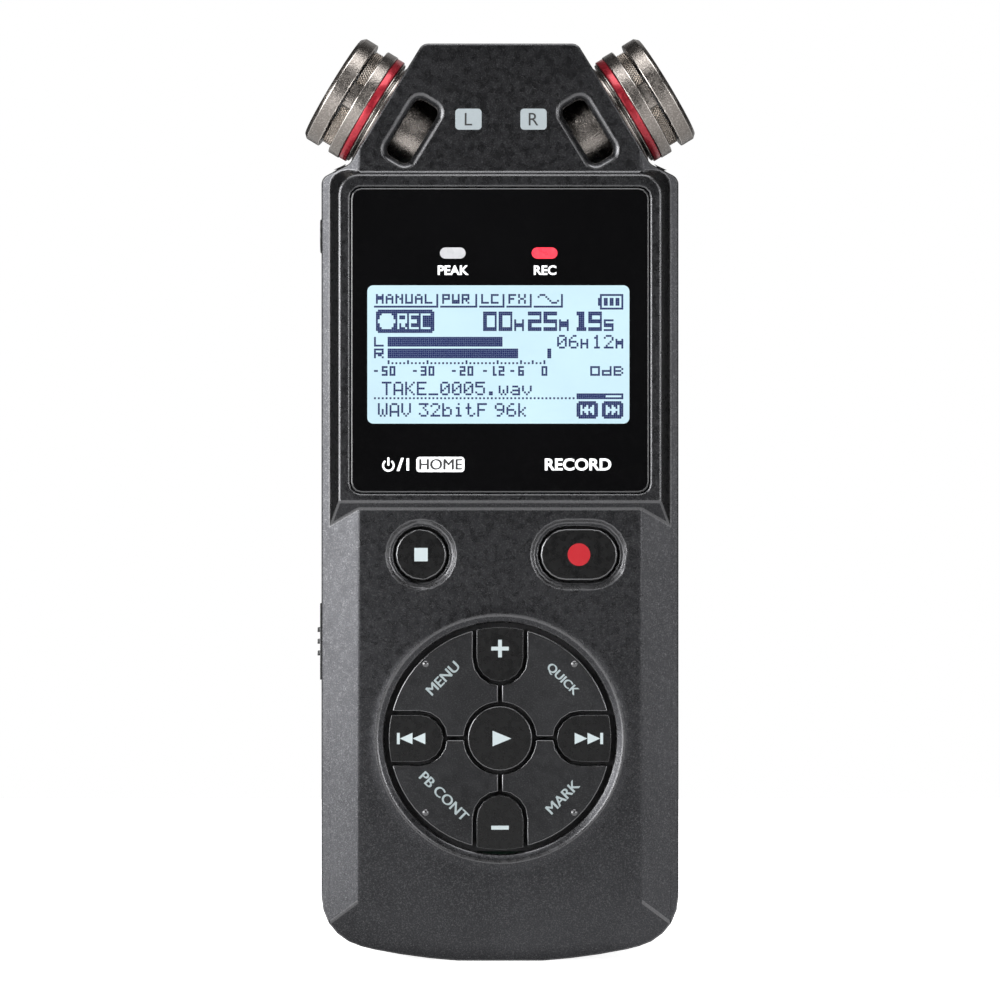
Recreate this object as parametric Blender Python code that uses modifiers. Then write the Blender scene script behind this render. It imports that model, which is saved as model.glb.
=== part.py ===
"""Handheld stereo recorder: a moulded case with a display, a keypad and two angled microphones.

The recorder stands upright: +Z runs up its length, its face looks along -Y, and +X is to the right of
someone who looks at the face. The origin is under the middle of the foot. Units are metres.
"""

import math

import bmesh
import bpy
from mathutils import Matrix, Vector

MM = 0.001

# ---------------------------------------------------------------- driving dimensions

CLEARANCE = 0.3 * MM            # between pieces that touch or slide on each other
CUT_PAST = 1.0 * MM             # how far a cutter runs past the surface that it cuts
CUTTER_LAP = 0.1 * MM           # how far a cutter's slope runs past the edge that it makes

# Case
CASE_WIDTH = 54.5 * MM
CASE_HEIGHT = 139.9 * MM        # foot to the top of the neck
CASE_DEPTH = 25.0 * MM          # keypad deck to the back
WALL = 1.6 * MM
FRONT_SHELL_DEPTH = 11.0 * MM   # deck to the parting line
FOOT_HALF = 6.5 * MM            # half of the flat that the case stands on
TAIL_RADIUS = 97.0 * MM         # arc of the bottom edge
TAIL_CORNER = 8.0 * MM
TAIL_SLOPE_HEIGHT = 7.0 * MM    # height of the sloping face at the bottom of the front
TAIL_SLOPE_DEPTH = 4.0 * MM
TAIL_BACK_HEIGHT = 9.0 * MM     # the same at the back
TAIL_BACK_DEPTH = 3.0 * MM
DECK_HALF = 21.5 * MM           # half width of the flat deck between the side slopes
SIDE_SLOPE_DEPTH = 3.3 * MM
BACK_CORNER = 4.0 * MM
NECK_HEIGHT = 18.3 * MM
NECK_TOP_HALF = 11.8 * MM
NECK_TILT = math.radians(31.2)  # of the neck's sides from upright, and of the microphones' axes
SHOULDER_FALL = 0.467           # drop of the shoulder per unit of width
SMALL_CORNER = 1.5 * MM
NECK_ROLL_HEIGHT = 6.0 * MM     # the neck's front leans back over this height
NECK_ROLL_DEPTH = 0.9 * MM

# Display block, window and lights
BLOCK_PROUD = 1.0 * MM          # the block stands above the deck
BLOCK_WIDTH = 49.0 * MM
BLOCK_HEIGHT = 49.7 * MM
BLOCK_DRAFT = 1.4 * MM          # how much wider each side is at the block's foot
BLOCK_TOP_DRAFT = 1.6 * MM      # the same at the block's upper side
BLOCK_CORNER = 2.8 * MM
BLOCK_FOOT_DEPTH = 3.6 * MM
BLOCK_DROP = 20.1 * MM          # neck top to the block's upper edge
WINDOW_WIDTH = 45.3 * MM
WINDOW_HEIGHT = 46.3 * MM
WINDOW_DROP = 22.1 * MM         # neck top to the window's upper edge
WINDOW_THICKNESS = 1.0 * MM
WINDOW_CORNER = 1.6 * MM
WINDOW_LEDGE = 1.3 * MM         # width of the ledge that the window is stuck to
LCD_WIDTH = 41.4 * MM
LCD_HEIGHT = 24.0 * MM
LCD_THICKNESS = 1.4 * MM
LCD_DROP = 47.4 * MM            # neck top to the middle of the display
TRAY_THICKNESS = 1.6 * MM
LIGHT_DROP = 32.0 * MM          # neck top to the status lights
LIGHT_OFFSET = 7.0 * MM
LIGHT_LENGTH = 3.9 * MM
LIGHT_HEIGHT = 1.7 * MM

# Round keypad
PAD_Z = 34.15 * MM
PAD_RADIUS = 16.9 * MM
PAD_GAP = 0.75 * MM             # pad to the case
PAD_RIM = 1.15 * MM             # width of the steep rim around the pad
PAD_APRON = 1.8 * MM            # width of the gentle slope outside the rim
PAD_RIM_DEPTH = 0.7 * MM
PAD_APRON_DEPTH = 0.25 * MM
PLAY_RADIUS = 4.9 * MM
KEY_GAP = 0.55 * MM             # between keys of the pad
ARM_WIDTH = 7.1 * MM
ARM_START = 8.66 * MM           # inner end of an arm key, from the middle of the pad
DISH_RADIUS = 14.8 * MM
DISH_DEPTH = 0.35 * MM

# Keys above the pad
KEY_ROW_Z = 62.1 * MM
KEY_ROW_X = 12.0 * MM
STOP_RADIUS = 3.9 * MM
RECORD_LENGTH = 11.7 * MM
RECORD_HEIGHT = 7.8 * MM
KEY_RECESS = 1.3 * MM           # width of the recess around a key
KEY_RECESS_DEPTH = 0.5 * MM
KEY_PROUD = 0.35 * MM           # key tops above the deck
KEY_DEPTH = 3.4 * MM            # length of a key, top to underside
KEY_TRAVEL = 0.3 * MM
KEY_ROOM = 0.2 * MM             # key underside to the rubber mat, pressed
MAT_THICKNESS = 0.6 * MM
BOARD_THICKNESS = 1.2 * MM
BOARD_SIDE_GAP = 1.0 * MM
BOARD_BOTTOM = 15.5 * MM
BOARD_DROP = 25.9 * MM          # neck top to the board's upper edge

# Microphones: distances run inwards along the axis from the front face
MIC_OUT = 8.8 * MM              # front face to the neck's side
MIC_ALONG_NECK = 12.2 * MM      # axis below the neck's top, measured along the neck's side
MIC_RADIUS = 8.95 * MM
MIC_CAP_LENGTH = 2.7 * MM
MIC_KNURL_END = 4.5 * MM
MIC_KNURL_RADIUS = 7.75 * MM
MIC_COLLAR_END = 6.3 * MM
MIC_ACCENT_LENGTH = 1.0 * MM
MIC_BASE_RADIUS = 8.0 * MM
MIC_BARREL_RADIUS = 7.5 * MM
MIC_BARREL_END = 17.6 * MM
MIC_WALL = 1.1 * MM
GRILLE_SETBACK = 0.7 * MM
GRILLE_THICKNESS = 0.4 * MM
CAPSULE_RADIUS = 5.2 * MM
CAPSULE_LENGTH = 4.2 * MM
NECK_WINDOW_X = 13.34 * MM
NECK_WINDOW_DROP = 13.4 * MM
NECK_WINDOW_WIDTH = 4.0 * MM
NECK_WINDOW_LENGTH = 9.8 * MM
NECK_WINDOW_CORNER = 1.1 * MM
NECK_WINDOW_BEVEL = 0.8 * MM

# Sockets
JACK_RADIUS = 2.6 * MM          # collar that shows outside
JACK_BORE = 1.75 * MM
JACK_BODY_RADIUS = 3.0 * MM
JACK_LENGTH = 12.0 * MM
JACK_PROUD = 0.4 * MM
PHONES_DROP = 28.9 * MM
USB_Z = 69.0 * MM
USB_LENGTH = 8.9 * MM
USB_HEIGHT = 3.2 * MM
USB_DEPTH = 6.8 * MM
USB_SHELL = 0.3 * MM
USB_TONGUE = 0.7 * MM
USB_SETBACK = 0.3 * MM

# Memory card and its door
CARD_Z = 87.0 * MM
CARD_LENGTH = 15.0 * MM
CARD_WIDTH = 11.0 * MM
CARD_THICKNESS = 1.0 * MM
CARD_EJECT = 3.0 * MM
CARD_ROOM = 1.2 * MM            # ejected card to the shut door
SOCKET_WALL = 0.5 * MM
CARD_DOOR_LENGTH = 15.0 * MM
CARD_DOOR_WIDTH = 5.4 * MM
CARD_DOOR_THICKNESS = 1.1 * MM

# Hold switch
HOLD_Z = 48.65 * MM
HOLD_LENGTH = 11.7 * MM
HOLD_WIDTH = 4.2 * MM
HOLD_THICKNESS = 1.2 * MM
HOLD_PROUD = 0.4 * MM
HOLD_TRAVEL = 2.0 * MM
HOLD_STEM = 2.4 * MM
HOLD_STEM_DEPTH = 2.2 * MM
RIB_PITCH = 1.8 * MM
RIB_HEIGHT = 0.7 * MM
RIB_PROUD = 0.4 * MM

# Batteries, their bay and its door
BATTERY_RADIUS = 7.25 * MM
BATTERY_LENGTH = 49.3 * MM
NUB_RADIUS = 2.6 * MM
NUB_LENGTH = 1.2 * MM
BATTERY_GAP = 0.6 * MM
BAY_BOTTOM = 9.0 * MM
BAY_WALL = 1.3 * MM
BAY_END_ROOM = 4.0 * MM         # length that the contacts take at each end of the bay
CONTACT_THICKNESS = 0.5 * MM
CONTACT_WIDTH = 10.0 * MM
PIP_RADIUS = 1.6 * MM           # raised contact that a cell's nub touches
SPRING_RADIUS = 3.4 * MM
SPRING_WIRE = 0.3 * MM
SPRING_TURNS = 2
DOOR_THICKNESS = 1.5 * MM
DOOR_OVERLAP = 1.4 * MM         # the door covers this much of the bay's rim
DOOR_TRAVEL = 4.5 * MM
GRIP_WIDTH = 14.0 * MM
GRIP_PITCH = 1.5 * MM
GRIP_RIBS = 5
GRIP_DEPTH = 0.4 * MM

# Back: loudspeaker, tripod nut and screws
SPEAKER_DROP = 42.0 * MM
SPEAKER_RADIUS = 9.0 * MM
SPEAKER_DEPTH = 3.6 * MM
SLOT_COUNT = 5
SLOT_PITCH = 2.6 * MM
SLOT_LENGTH = 12.0 * MM
SLOT_WIDTH = 1.1 * MM
TRIPOD_Z = 78.5 * MM
TRIPOD_RADIUS = 4.7 * MM
TRIPOD_BORE = 3.0 * MM
TRIPOD_LENGTH = 8.0 * MM
BOSS_RADIUS = 2.3 * MM
SCREW_X = 21.4 * MM
SCREW_LOW_Z = 11.6 * MM
SCREW_TOP_DROP = 23.2 * MM
SCREW_HEAD_RADIUS = 1.7 * MM
SCREW_HEAD_LENGTH = 1.2 * MM
SCREW_RADIUS = 0.8 * MM
SCREW_LENGTH = 11.0 * MM
SCREW_SINK = 5.0 * MM           # head below the back

# Roundness
ARC_STEPS = 5                   # points in a small rounded corner
ROUND_STEPS = 40                # sides of a large turned piece
SMALL_STEPS = 20                # sides of a small turned piece
TAIL_STEPS = 160                # sides of the wide cone that shapes the tail

# ---------------------------------------------------------------- planes and centres that follow

HALF = CASE_WIDTH / 2
BACK = (CASE_DEPTH + BLOCK_PROUD) / 2
DECK = BACK - CASE_DEPTH
FACE = DECK - BLOCK_PROUD
PARTING = DECK + FRONT_SHELL_DEPTH
TAIL_CENTRE_Z = math.sqrt(TAIL_RADIUS ** 2 - FOOT_HALF ** 2)
NECK_FOOT_Z = CASE_HEIGHT - NECK_HEIGHT
NECK_FOOT_X = NECK_TOP_HALF + NECK_HEIGHT * math.tan(NECK_TILT)
KEY_TOP = DECK - KEY_PROUD
KEY_UNDER = KEY_TOP + KEY_DEPTH
MAT_FRONT = KEY_UNDER + KEY_TRAVEL + KEY_ROOM
BOARD_FRONT = MAT_FRONT + MAT_THICKNESS + CLEARANCE
BOARD_BACK = BOARD_FRONT + BOARD_THICKNESS
USB_Y = BOARD_BACK + CLEARANCE + USB_HEIGHT / 2
CARD_Y = BOARD_BACK + 2 * CLEARANCE + SOCKET_WALL + CARD_THICKNESS / 2
WINDOW_TOP = CASE_HEIGHT - WINDOW_DROP
WINDOW_Z = WINDOW_TOP - WINDOW_HEIGHT / 2
LCD_Z = CASE_HEIGHT - LCD_DROP
LIGHT_Z = CASE_HEIGHT - LIGHT_DROP
DOOR_INNER = BACK - DOOR_THICKNESS
BATTERY_Y = DOOR_INNER - CLEARANCE - BATTERY_RADIUS
BATTERY_X = BATTERY_RADIUS + BATTERY_GAP / 2
BAY_HALF = 2 * BATTERY_RADIUS + BATTERY_GAP / 2 + CLEARANCE
BAY_FRONT = BATTERY_Y - BATTERY_RADIUS - CLEARANCE
BAY_TOP = BAY_BOTTOM + BATTERY_LENGTH + NUB_LENGTH + 2 * BAY_END_ROOM
DOOR_HALF = BAY_HALF + DOOR_OVERLAP
DOOR_LOW = BAY_BOTTOM - DOOR_OVERLAP
DOOR_TOP = BAY_TOP + DOOR_OVERLAP

# ---------------------------------------------------------------- scene and materials

for old in list(bpy.data.objects):
    bpy.data.objects.remove(old)

PARTS = bpy.data.collections.new("handheld_recorder")
CUTTERS = bpy.data.collections.new("cutters")
bpy.context.scene.collection.children.link(PARTS)
bpy.context.scene.collection.children.link(CUTTERS)

FINISHES = {                    # colour, roughness, metallic
    "case_plastic": ((0.035, 0.036, 0.04), 0.55, 0.0),
    "key_plastic": ((0.025, 0.026, 0.028), 0.5, 0.0),
    "window_black": ((0.004, 0.004, 0.005), 0.08, 0.0),
    "lcd_blue": ((0.50, 0.75, 0.84), 0.3, 0.0),
    "tray_white": ((0.8, 0.8, 0.8), 0.5, 0.0),
    "light_grey": ((0.6, 0.6, 0.62), 0.3, 0.0),
    "light_red": ((0.85, 0.05, 0.08), 0.3, 0.0),
    "mic_metal": ((0.30, 0.28, 0.25), 0.4, 0.9),
    "accent_red": ((0.45, 0.03, 0.05), 0.35, 0.4),
    "grille_steel": ((0.25, 0.25, 0.26), 0.35, 0.9),
    "board_green": ((0.02, 0.16, 0.08), 0.5, 0.0),
    "black_plastic": ((0.01, 0.01, 0.011), 0.5, 0.0),
    "mat_rubber": ((0.12, 0.12, 0.13), 0.8, 0.0),
    "steel": ((0.55, 0.55, 0.56), 0.3, 1.0),
    "brass": ((0.70, 0.50, 0.20), 0.3, 1.0),
    "battery_skin": ((0.10, 0.25, 0.12), 0.4, 0.2),
}


def finish(name):
    """The named finish as a material, made the first time that it is asked for."""
    if name in bpy.data.materials:
        return bpy.data.materials[name]
    color, roughness, metallic = FINISHES[name]
    material = bpy.data.materials.new(name)
    material.use_nodes = True
    shader = material.node_tree.nodes["Principled BSDF"]
    shader.inputs["Base Color"].default_value = (*color, 1)
    shader.inputs["Roughness"].default_value = roughness
    shader.inputs["Metallic"].default_value = metallic
    return material


def add_object(name, mesh, finish_name=None):
    """A part with a finish, or a hidden cutter when no finish is given."""
    obj = bpy.data.objects.new(name, mesh)
    if finish_name is None:
        CUTTERS.objects.link(obj)
        obj.hide_render = True
        obj.display_type = "WIRE"
    else:
        PARTS.objects.link(obj)
        mesh.materials.clear()
        mesh.materials.append(finish(finish_name))
    return obj


# ---------------------------------------------------------------- outlines

def mirrored(corners):
    """Closed outline from its half at +X, given bottom to top as (x, y, fillet radius)."""
    return corners + [(-x, y, radius) for x, y, radius in reversed(corners)]


def inset_corners(corners, distance):
    """Counter-clockwise outline moved inwards; a fillet follows its wall as far as it has room."""
    moved = []
    for index, (x, y, radius) in enumerate(corners):
        here = Vector((x, y))
        before = Vector(corners[index - 1][:2])
        after = Vector(corners[(index + 1) % len(corners)][:2])
        come, leave = (here - before).normalized(), (after - here).normalized()
        normals = Vector((-come.y, come.x)) + Vector((-leave.y, leave.x))
        point = here + normals * distance / (1 + come.dot(leave))
        turn = come.x * leave.y - come.y * leave.x
        if radius:
            radius = max(radius - math.copysign(distance, turn), 0.2 * MM)
        moved.append((point.x, point.y, radius))
    return moved


def rounded(corners, steps=ARC_STEPS):
    """Points of a closed outline whose corners are rounded by their radii."""
    points = []
    for index, (x, y, radius) in enumerate(corners):
        here = Vector((x, y))
        if not radius:
            points.append((x, y))
            continue
        back = (Vector(corners[index - 1][:2]) - here).normalized()
        ahead = (Vector(corners[(index + 1) % len(corners)][:2]) - here).normalized()
        half_angle = back.angle(ahead) / 2
        centre = here + (back + ahead).normalized() * radius / math.sin(half_angle)
        first = here + back * radius / math.tan(half_angle) - centre
        last = here + ahead * radius / math.tan(half_angle) - centre
        sweep = first.angle_signed(last)
        for step in range(steps + 1):
            spoke = Matrix.Rotation(-sweep * step / steps, 2) @ first
            points.append(tuple(centre + spoke))
    return points


def rectangle(width, height, radius=0.0, center=(0.0, 0.0)):
    """Corners of a rectangle, counter-clockwise."""
    x, y = center
    return [(x + sx * width / 2, y + sy * height / 2, radius)
            for sx, sy in ((-1, -1), (1, -1), (1, 1), (-1, 1))]


def stadium(length, height, center=(0.0, 0.0), steps=10):
    """Points of a bar with round ends, its length along the first axis."""
    radius = height / 2
    reach = length / 2 - radius
    points = []
    for side in (1, -1):
        for step in range(steps + 1):
            angle = math.pi * (step / steps - 0.5)
            points.append((center[0] + side * (reach + radius * math.cos(angle)),
                           center[1] + side * radius * math.sin(angle)))
    return points


# ---------------------------------------------------------------- solids

PRISM_TURNS = {                 # outline axes to world axes for an extrusion along each axis
    "X": Matrix(((0, 0, 1), (1, 0, 0), (0, 1, 0))),
    "Y": Matrix(((1, 0, 0), (0, 0, -1), (0, 1, 0))),
    "Z": Matrix.Identity(3),
}


def prism(name, points, axis, low, high, finish_name=None):
    """Flat outline extruded along an axis between two planes."""
    curve = bpy.data.curves.new(name, "CURVE")
    curve.dimensions = "2D"
    curve.fill_mode = "BOTH"
    curve.extrude = (high - low) / 2
    spline = curve.splines.new("POLY")
    spline.points.add(len(points) - 1)
    for point, (x, y) in zip(spline.points, points):
        point.co = (x, y, 0, 1)
    spline.use_cyclic_u = True
    holder = bpy.data.objects.new(name, curve)
    CUTTERS.objects.link(holder)
    graph = bpy.context.evaluated_depsgraph_get()
    mesh = bpy.data.meshes.new_from_object(holder.evaluated_get(graph))
    bpy.data.objects.remove(holder)
    shape = bmesh.new()
    shape.from_mesh(mesh)
    bmesh.ops.remove_doubles(shape, verts=shape.verts, dist=0.002 * MM)
    shape.to_mesh(mesh)
    shape.free()
    obj = add_object(name, mesh, finish_name)
    place = {"X": Vector((1, 0, 0)), "Y": Vector((0, 1, 0)), "Z": Vector((0, 0, 1))}[axis]
    mesh.transform(PRISM_TURNS[axis].to_4x4())
    obj.location = place * (low + high) / 2
    return obj


def box(name, low, high, finish_name=None):
    """Box between two opposite corners."""
    shape = bmesh.new()
    bmesh.ops.create_cube(shape, size=1)
    mesh = bpy.data.meshes.new(name)
    shape.to_mesh(mesh)
    shape.free()
    low, high = Vector(low), Vector(high)
    mesh.transform(Matrix.Diagonal((*(high - low), 1)))
    obj = add_object(name, mesh, finish_name)
    obj.location = (low + high) / 2
    return obj


def turned(name, profile, finish_name=None, closed=False, steps=ROUND_STEPS):
    """Profile of (radius, height) turned about Z; its outer side runs from the top down."""
    mesh = bpy.data.meshes.new(name)
    edges = [(index, index + 1) for index in range(len(profile) - 1)]
    if closed:
        edges.append((len(profile) - 1, 0))
    mesh.from_pydata([(radius, 0, height) for radius, height in profile], edges, [])
    obj = add_object(name, mesh, finish_name)
    screw = obj.modifiers.new("turn", "SCREW")
    screw.steps = screw.render_steps = steps
    screw.use_merge_vertices = True
    screw.merge_threshold = 0.005 * MM
    return obj


def rod(name, radius, axis, low, high, center, finish_name=None, steps=SMALL_STEPS):
    """Cylinder along a world axis between two planes, through a point given by the other axes."""
    points = [(center[0] + radius * math.cos(turn), center[1] + radius * math.sin(turn))
              for turn in (2 * math.pi * step / steps for step in range(steps))]
    return prism(name, points, axis, low, high, finish_name)


def combine(obj, tool, operation):
    """Boolean modifier that keeps the exact solver."""
    boolean = obj.modifiers.new(tool.name, "BOOLEAN")
    boolean.operation = operation
    boolean.object = tool


def cut(obj, *tools):
    for tool in tools:
        combine(obj, tool, "DIFFERENCE")


def join(obj, *tools):
    for tool in tools:
        combine(obj, tool, "UNION")


def keep_inside(obj, *tools):
    for tool in tools:
        combine(obj, tool, "INTERSECT")


def soften(obj, width, segments=1, angle=50):
    """Bevel on the sharp edges only."""
    bevel = obj.modifiers.new("soft_edges", "BEVEL")
    bevel.width = width
    bevel.segments = segments
    bevel.limit_method = "ANGLE"
    bevel.angle_limit = math.radians(angle)


# ---------------------------------------------------------------- case volume

def case_outline():
    """Right half of the case seen from the front, with the neck on top."""
    corners = [(FOOT_HALF, 0, 0)]
    last_turn = math.asin((HALF - TAIL_CORNER) / TAIL_RADIUS)
    first_turn = math.asin(FOOT_HALF / TAIL_RADIUS)
    for step in range(1, 4):
        turn = first_turn + (last_turn - first_turn) * step / 3
        corners.append((TAIL_RADIUS * math.sin(turn), TAIL_CENTRE_Z - TAIL_RADIUS * math.cos(turn), 0))
    side_z = TAIL_CENTRE_Z - math.sqrt(TAIL_RADIUS ** 2 - HALF ** 2)
    corners.append((HALF, side_z, TAIL_CORNER))
    corners.append((HALF, NECK_FOOT_Z - SHOULDER_FALL * (HALF - NECK_FOOT_X), SMALL_CORNER))
    corners.append((NECK_FOOT_X, NECK_FOOT_Z, SMALL_CORNER))
    corners.append((NECK_TOP_HALF, CASE_HEIGHT, SMALL_CORNER))
    return mirrored(corners)


def case_section():
    """Case seen from above: flat deck, sloping sides, rounded back corners."""
    return mirrored([
        (DECK_HALF, DECK, 1.0 * MM),
        (HALF, DECK + SIDE_SLOPE_DEPTH, 0.4 * MM),
        (HALF, BACK, BACK_CORNER),
    ])


def case_side():
    """Case seen from its side (y, z): only the slanted ends touch the case."""
    past = CUT_PAST
    roll = NECK_ROLL_DEPTH / NECK_ROLL_HEIGHT
    tail = TAIL_BACK_DEPTH / TAIL_BACK_HEIGHT
    return [
        (DECK - past, -past, 0),
        (BACK - TAIL_BACK_DEPTH - past * tail, -past, 0),
        (BACK + past, TAIL_BACK_HEIGHT + past / tail, 0),
        (BACK + past, CASE_HEIGHT - BACK_CORNER + past, 0),
        (BACK - BACK_CORNER + past, CASE_HEIGHT + past, 0),
        (DECK + NECK_ROLL_DEPTH + past * roll, CASE_HEIGHT + past, 0),
        (DECK - past, CASE_HEIGHT - NECK_ROLL_HEIGHT - past / roll, 0),
    ]


def tail_profile():
    """Wide cone about the middle of the tail's arc (radius, y), outer side first."""
    slope = TAIL_SLOPE_HEIGHT / TAIL_SLOPE_DEPTH
    past = CUT_PAST
    top = TAIL_RADIUS - TAIL_SLOPE_HEIGHT
    return [
        (0, DECK - past),
        (top - past * slope, DECK - past),
        (TAIL_RADIUS + past * slope, DECK + TAIL_SLOPE_DEPTH + past),
        (CASE_HEIGHT + TAIL_RADIUS, DECK + TAIL_SLOPE_DEPTH + past),
        (CASE_HEIGHT + TAIL_RADIUS, BACK + past),
        (0, BACK + past),
    ]


def case_volume(name, inset, front, back, finish_name=None):
    """The case between two depths, with all its walls moved inwards by the inset."""
    volume = prism(name, rounded(inset_corners(case_outline(), inset)), "Y", front, back, finish_name)
    section = prism(name + "_section", rounded(inset_corners(case_section(), inset)), "Z",
                    -CUT_PAST, CASE_HEIGHT + CUT_PAST)
    side = prism(name + "_side", rounded(inset_corners(case_side(), inset)), "X",
                 -CASE_WIDTH, CASE_WIDTH)
    corners = [(radius, height, 0) for radius, height in tail_profile()]
    profile = [(max(x, 0), y) for x, y, _ in inset_corners(corners, inset)]
    profile[0] = (0, profile[0][1])
    profile[-1] = (0, profile[-1][1])
    tail = turned(name + "_tail", [(r, -h) for r, h in profile], steps=TAIL_STEPS)
    tail.rotation_euler = (math.pi / 2, 0, 0)
    tail.location = (0, 0, TAIL_CENTRE_Z)
    keep_inside(volume, section, side, tail)
    return volume


# ---------------------------------------------------------------- cutters that both shells share

def microphone_frame(side):
    """Empty on a microphone's axis: origin at its front face, +Z outwards."""
    empty = bpy.data.objects.new("mic_axis_" + ("left" if side < 0 else "right"), None)
    PARTS.objects.link(empty)
    along_neck = Vector((side * math.sin(NECK_TILT), 0, -math.cos(NECK_TILT)))
    outwards = Vector((side * math.cos(NECK_TILT), 0, math.sin(NECK_TILT)))
    corner = Vector((side * NECK_TOP_HALF, PARTING, CASE_HEIGHT))
    empty.location = corner + along_neck * MIC_ALONG_NECK + outwards * MIC_OUT
    empty.rotation_euler = (0, side * (math.pi / 2 - NECK_TILT), 0)
    return empty


def on_frame(obj, empty):
    """Hang a turned piece on a microphone's empty, so that it turns about that axis."""
    obj.parent = empty
    return obj


MIC_FRAMES = {side: microphone_frame(side) for side in (-1, 1)}


def side_pocket(name, z, length, y, width, side, depth):
    """Box-shaped pocket in the case's side wall."""
    near, far = side * (HALF - depth), side * (HALF + CUT_PAST)
    return box(name, (min(near, far), y - width / 2, z - length / 2),
               (max(near, far), y + width / 2, z + length / 2))


def hold_cutters():
    """Track of the hold slider, and the slot that its stem runs in."""
    track = side_pocket("hold_track", HOLD_Z + HOLD_TRAVEL / 2,
                        HOLD_LENGTH + HOLD_TRAVEL + 2 * CLEARANCE, PARTING,
                        HOLD_WIDTH + 2 * CLEARANCE, -1, HOLD_THICKNESS - HOLD_PROUD + CLEARANCE)
    slot = side_pocket("hold_slot", HOLD_Z + HOLD_TRAVEL / 2,
                       HOLD_STEM + HOLD_TRAVEL + 2 * CLEARANCE, PARTING,
                       HOLD_STEM + 2 * CLEARANCE, -1, 2 * WALL)
    return [track, slot]


def card_door_cutters():
    """Seat of the card door with its hinge groove, and the slot that the card passes through."""
    seat = side_pocket("card_door_seat", CARD_Z, CARD_DOOR_LENGTH + 2 * CLEARANCE, CARD_Y,
                       CARD_DOOR_WIDTH + 2 * CLEARANCE, 1, CARD_DOOR_THICKNESS + CLEARANCE)
    slot = side_pocket("card_slot", CARD_Z, CARD_WIDTH + 4 * CLEARANCE, CARD_Y,
                       CARD_THICKNESS + 4 * CLEARANCE, 1, 3 * WALL)
    return [seat, slot]


def jack_cutters():
    """Holes for the collars of the two audio sockets."""
    radius = JACK_RADIUS + CLEARANCE
    top = rod("mic_jack_hole", radius, "Z", CASE_HEIGHT - 2 * WALL, CASE_HEIGHT + CUT_PAST, (0, PARTING))
    left = rod("phones_hole", radius, "X", -HALF - CUT_PAST, -HALF + 2 * WALL,
               (PARTING, CASE_HEIGHT - PHONES_DROP))
    return [top, left]


def microphone_cutters():
    """Round holes in the sides of the neck."""
    cutters = []
    for side, empty in MIC_FRAMES.items():
        name = "mic_hole_left" if side < 0 else "mic_hole_right"
        radius = MIC_BASE_RADIUS + CLEARANCE
        low = -MIC_BARREL_END - CLEARANCE
        cutters.append(on_frame(turned(name, [(0, CUT_PAST), (radius, CUT_PAST),
                                              (radius, low), (0, low)]), empty))
    return cutters


def usb_outline(margin):
    """Round-ended outline of the data port (y, z), its length up the side."""
    points = stadium(USB_LENGTH + 2 * margin, USB_HEIGHT + 2 * margin)
    return [(USB_Y - y, USB_Z + z) for z, y in points]


USB_HOLE = prism("usb_hole", usb_outline(CLEARANCE), "X", HALF - 3 * WALL, HALF + CUT_PAST)
SHARED_CUTTERS = hold_cutters() + card_door_cutters() + jack_cutters() + microphone_cutters() + [USB_HOLE]


# ---------------------------------------------------------------- front shell

def display_block():
    """Raised block around the window: drafted sides, two rounded upper corners."""
    shape = bmesh.new()
    bmesh.ops.create_cube(shape, size=1)
    top = CASE_HEIGHT - BLOCK_DROP
    for vert in shape.verts:
        deep = vert.co.y > 0
        half_width = BLOCK_WIDTH / 2 + (BLOCK_DRAFT if deep else 0)
        low = top - BLOCK_HEIGHT - (BLOCK_FOOT_DEPTH if deep else 0)
        vert.co = Vector((math.copysign(half_width, vert.co.x),
                          FACE + (BLOCK_FOOT_DEPTH if deep else 0),
                          top + (BLOCK_TOP_DRAFT if deep else 0) if vert.co.z > 0 else low))
    upper = [edge for edge in shape.edges
             if all(vert.co.z > top - 0.1 * MM for vert in edge.verts)
             and abs(edge.verts[0].co.y - edge.verts[1].co.y) > MM]
    bmesh.ops.bevel(shape, geom=upper, offset=BLOCK_CORNER, segments=ARC_STEPS, affect="EDGES",
                    profile=0.5)
    mesh = bpy.data.meshes.new("display_block")
    shape.to_mesh(mesh)
    shape.free()
    return add_object("display_block", mesh)


def keypad_recess():
    """Round hole of the keypad with the steep rim and the gentle apron around it."""
    hole = PAD_RADIUS + PAD_GAP
    rim = hole + PAD_RIM
    slope = PAD_APRON / PAD_APRON_DEPTH
    edge = rim + slope * (PAD_APRON_DEPTH + CUTTER_LAP)
    recess = turned("keypad_recess", [
        (0, CUT_PAST),
        (edge, CUT_PAST),
        (edge, CUTTER_LAP),
        (rim, -PAD_APRON_DEPTH),
        (hole, -PAD_APRON_DEPTH - PAD_RIM_DEPTH),
        (hole, -3 * WALL),
        (0, -3 * WALL),
    ], steps=64)
    recess.rotation_euler = (math.pi / 2, 0, 0)
    recess.location = (0, DECK, PAD_Z)
    return recess


def key_recesses():
    """Holes of the two keys above the pad, each in a shallow recess."""
    cutters = []
    for name, x, length, height in KEY_ROW:
        at = (x, KEY_ROW_Z)
        hole = stadium(length + 2 * CLEARANCE, height + 2 * CLEARANCE, at)
        recess = stadium(length + 2 * KEY_RECESS, height + 2 * KEY_RECESS, at)
        cutters.append(prism(name + "_hole", hole, "Y", DECK - CUT_PAST, DECK + 3 * WALL))
        shallow = prism(name + "_recess", recess, "Y", DECK - CUT_PAST, DECK + KEY_RECESS_DEPTH)
        soften(shallow, KEY_RECESS_DEPTH)
        cutters.append(shallow)
    return cutters


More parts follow.
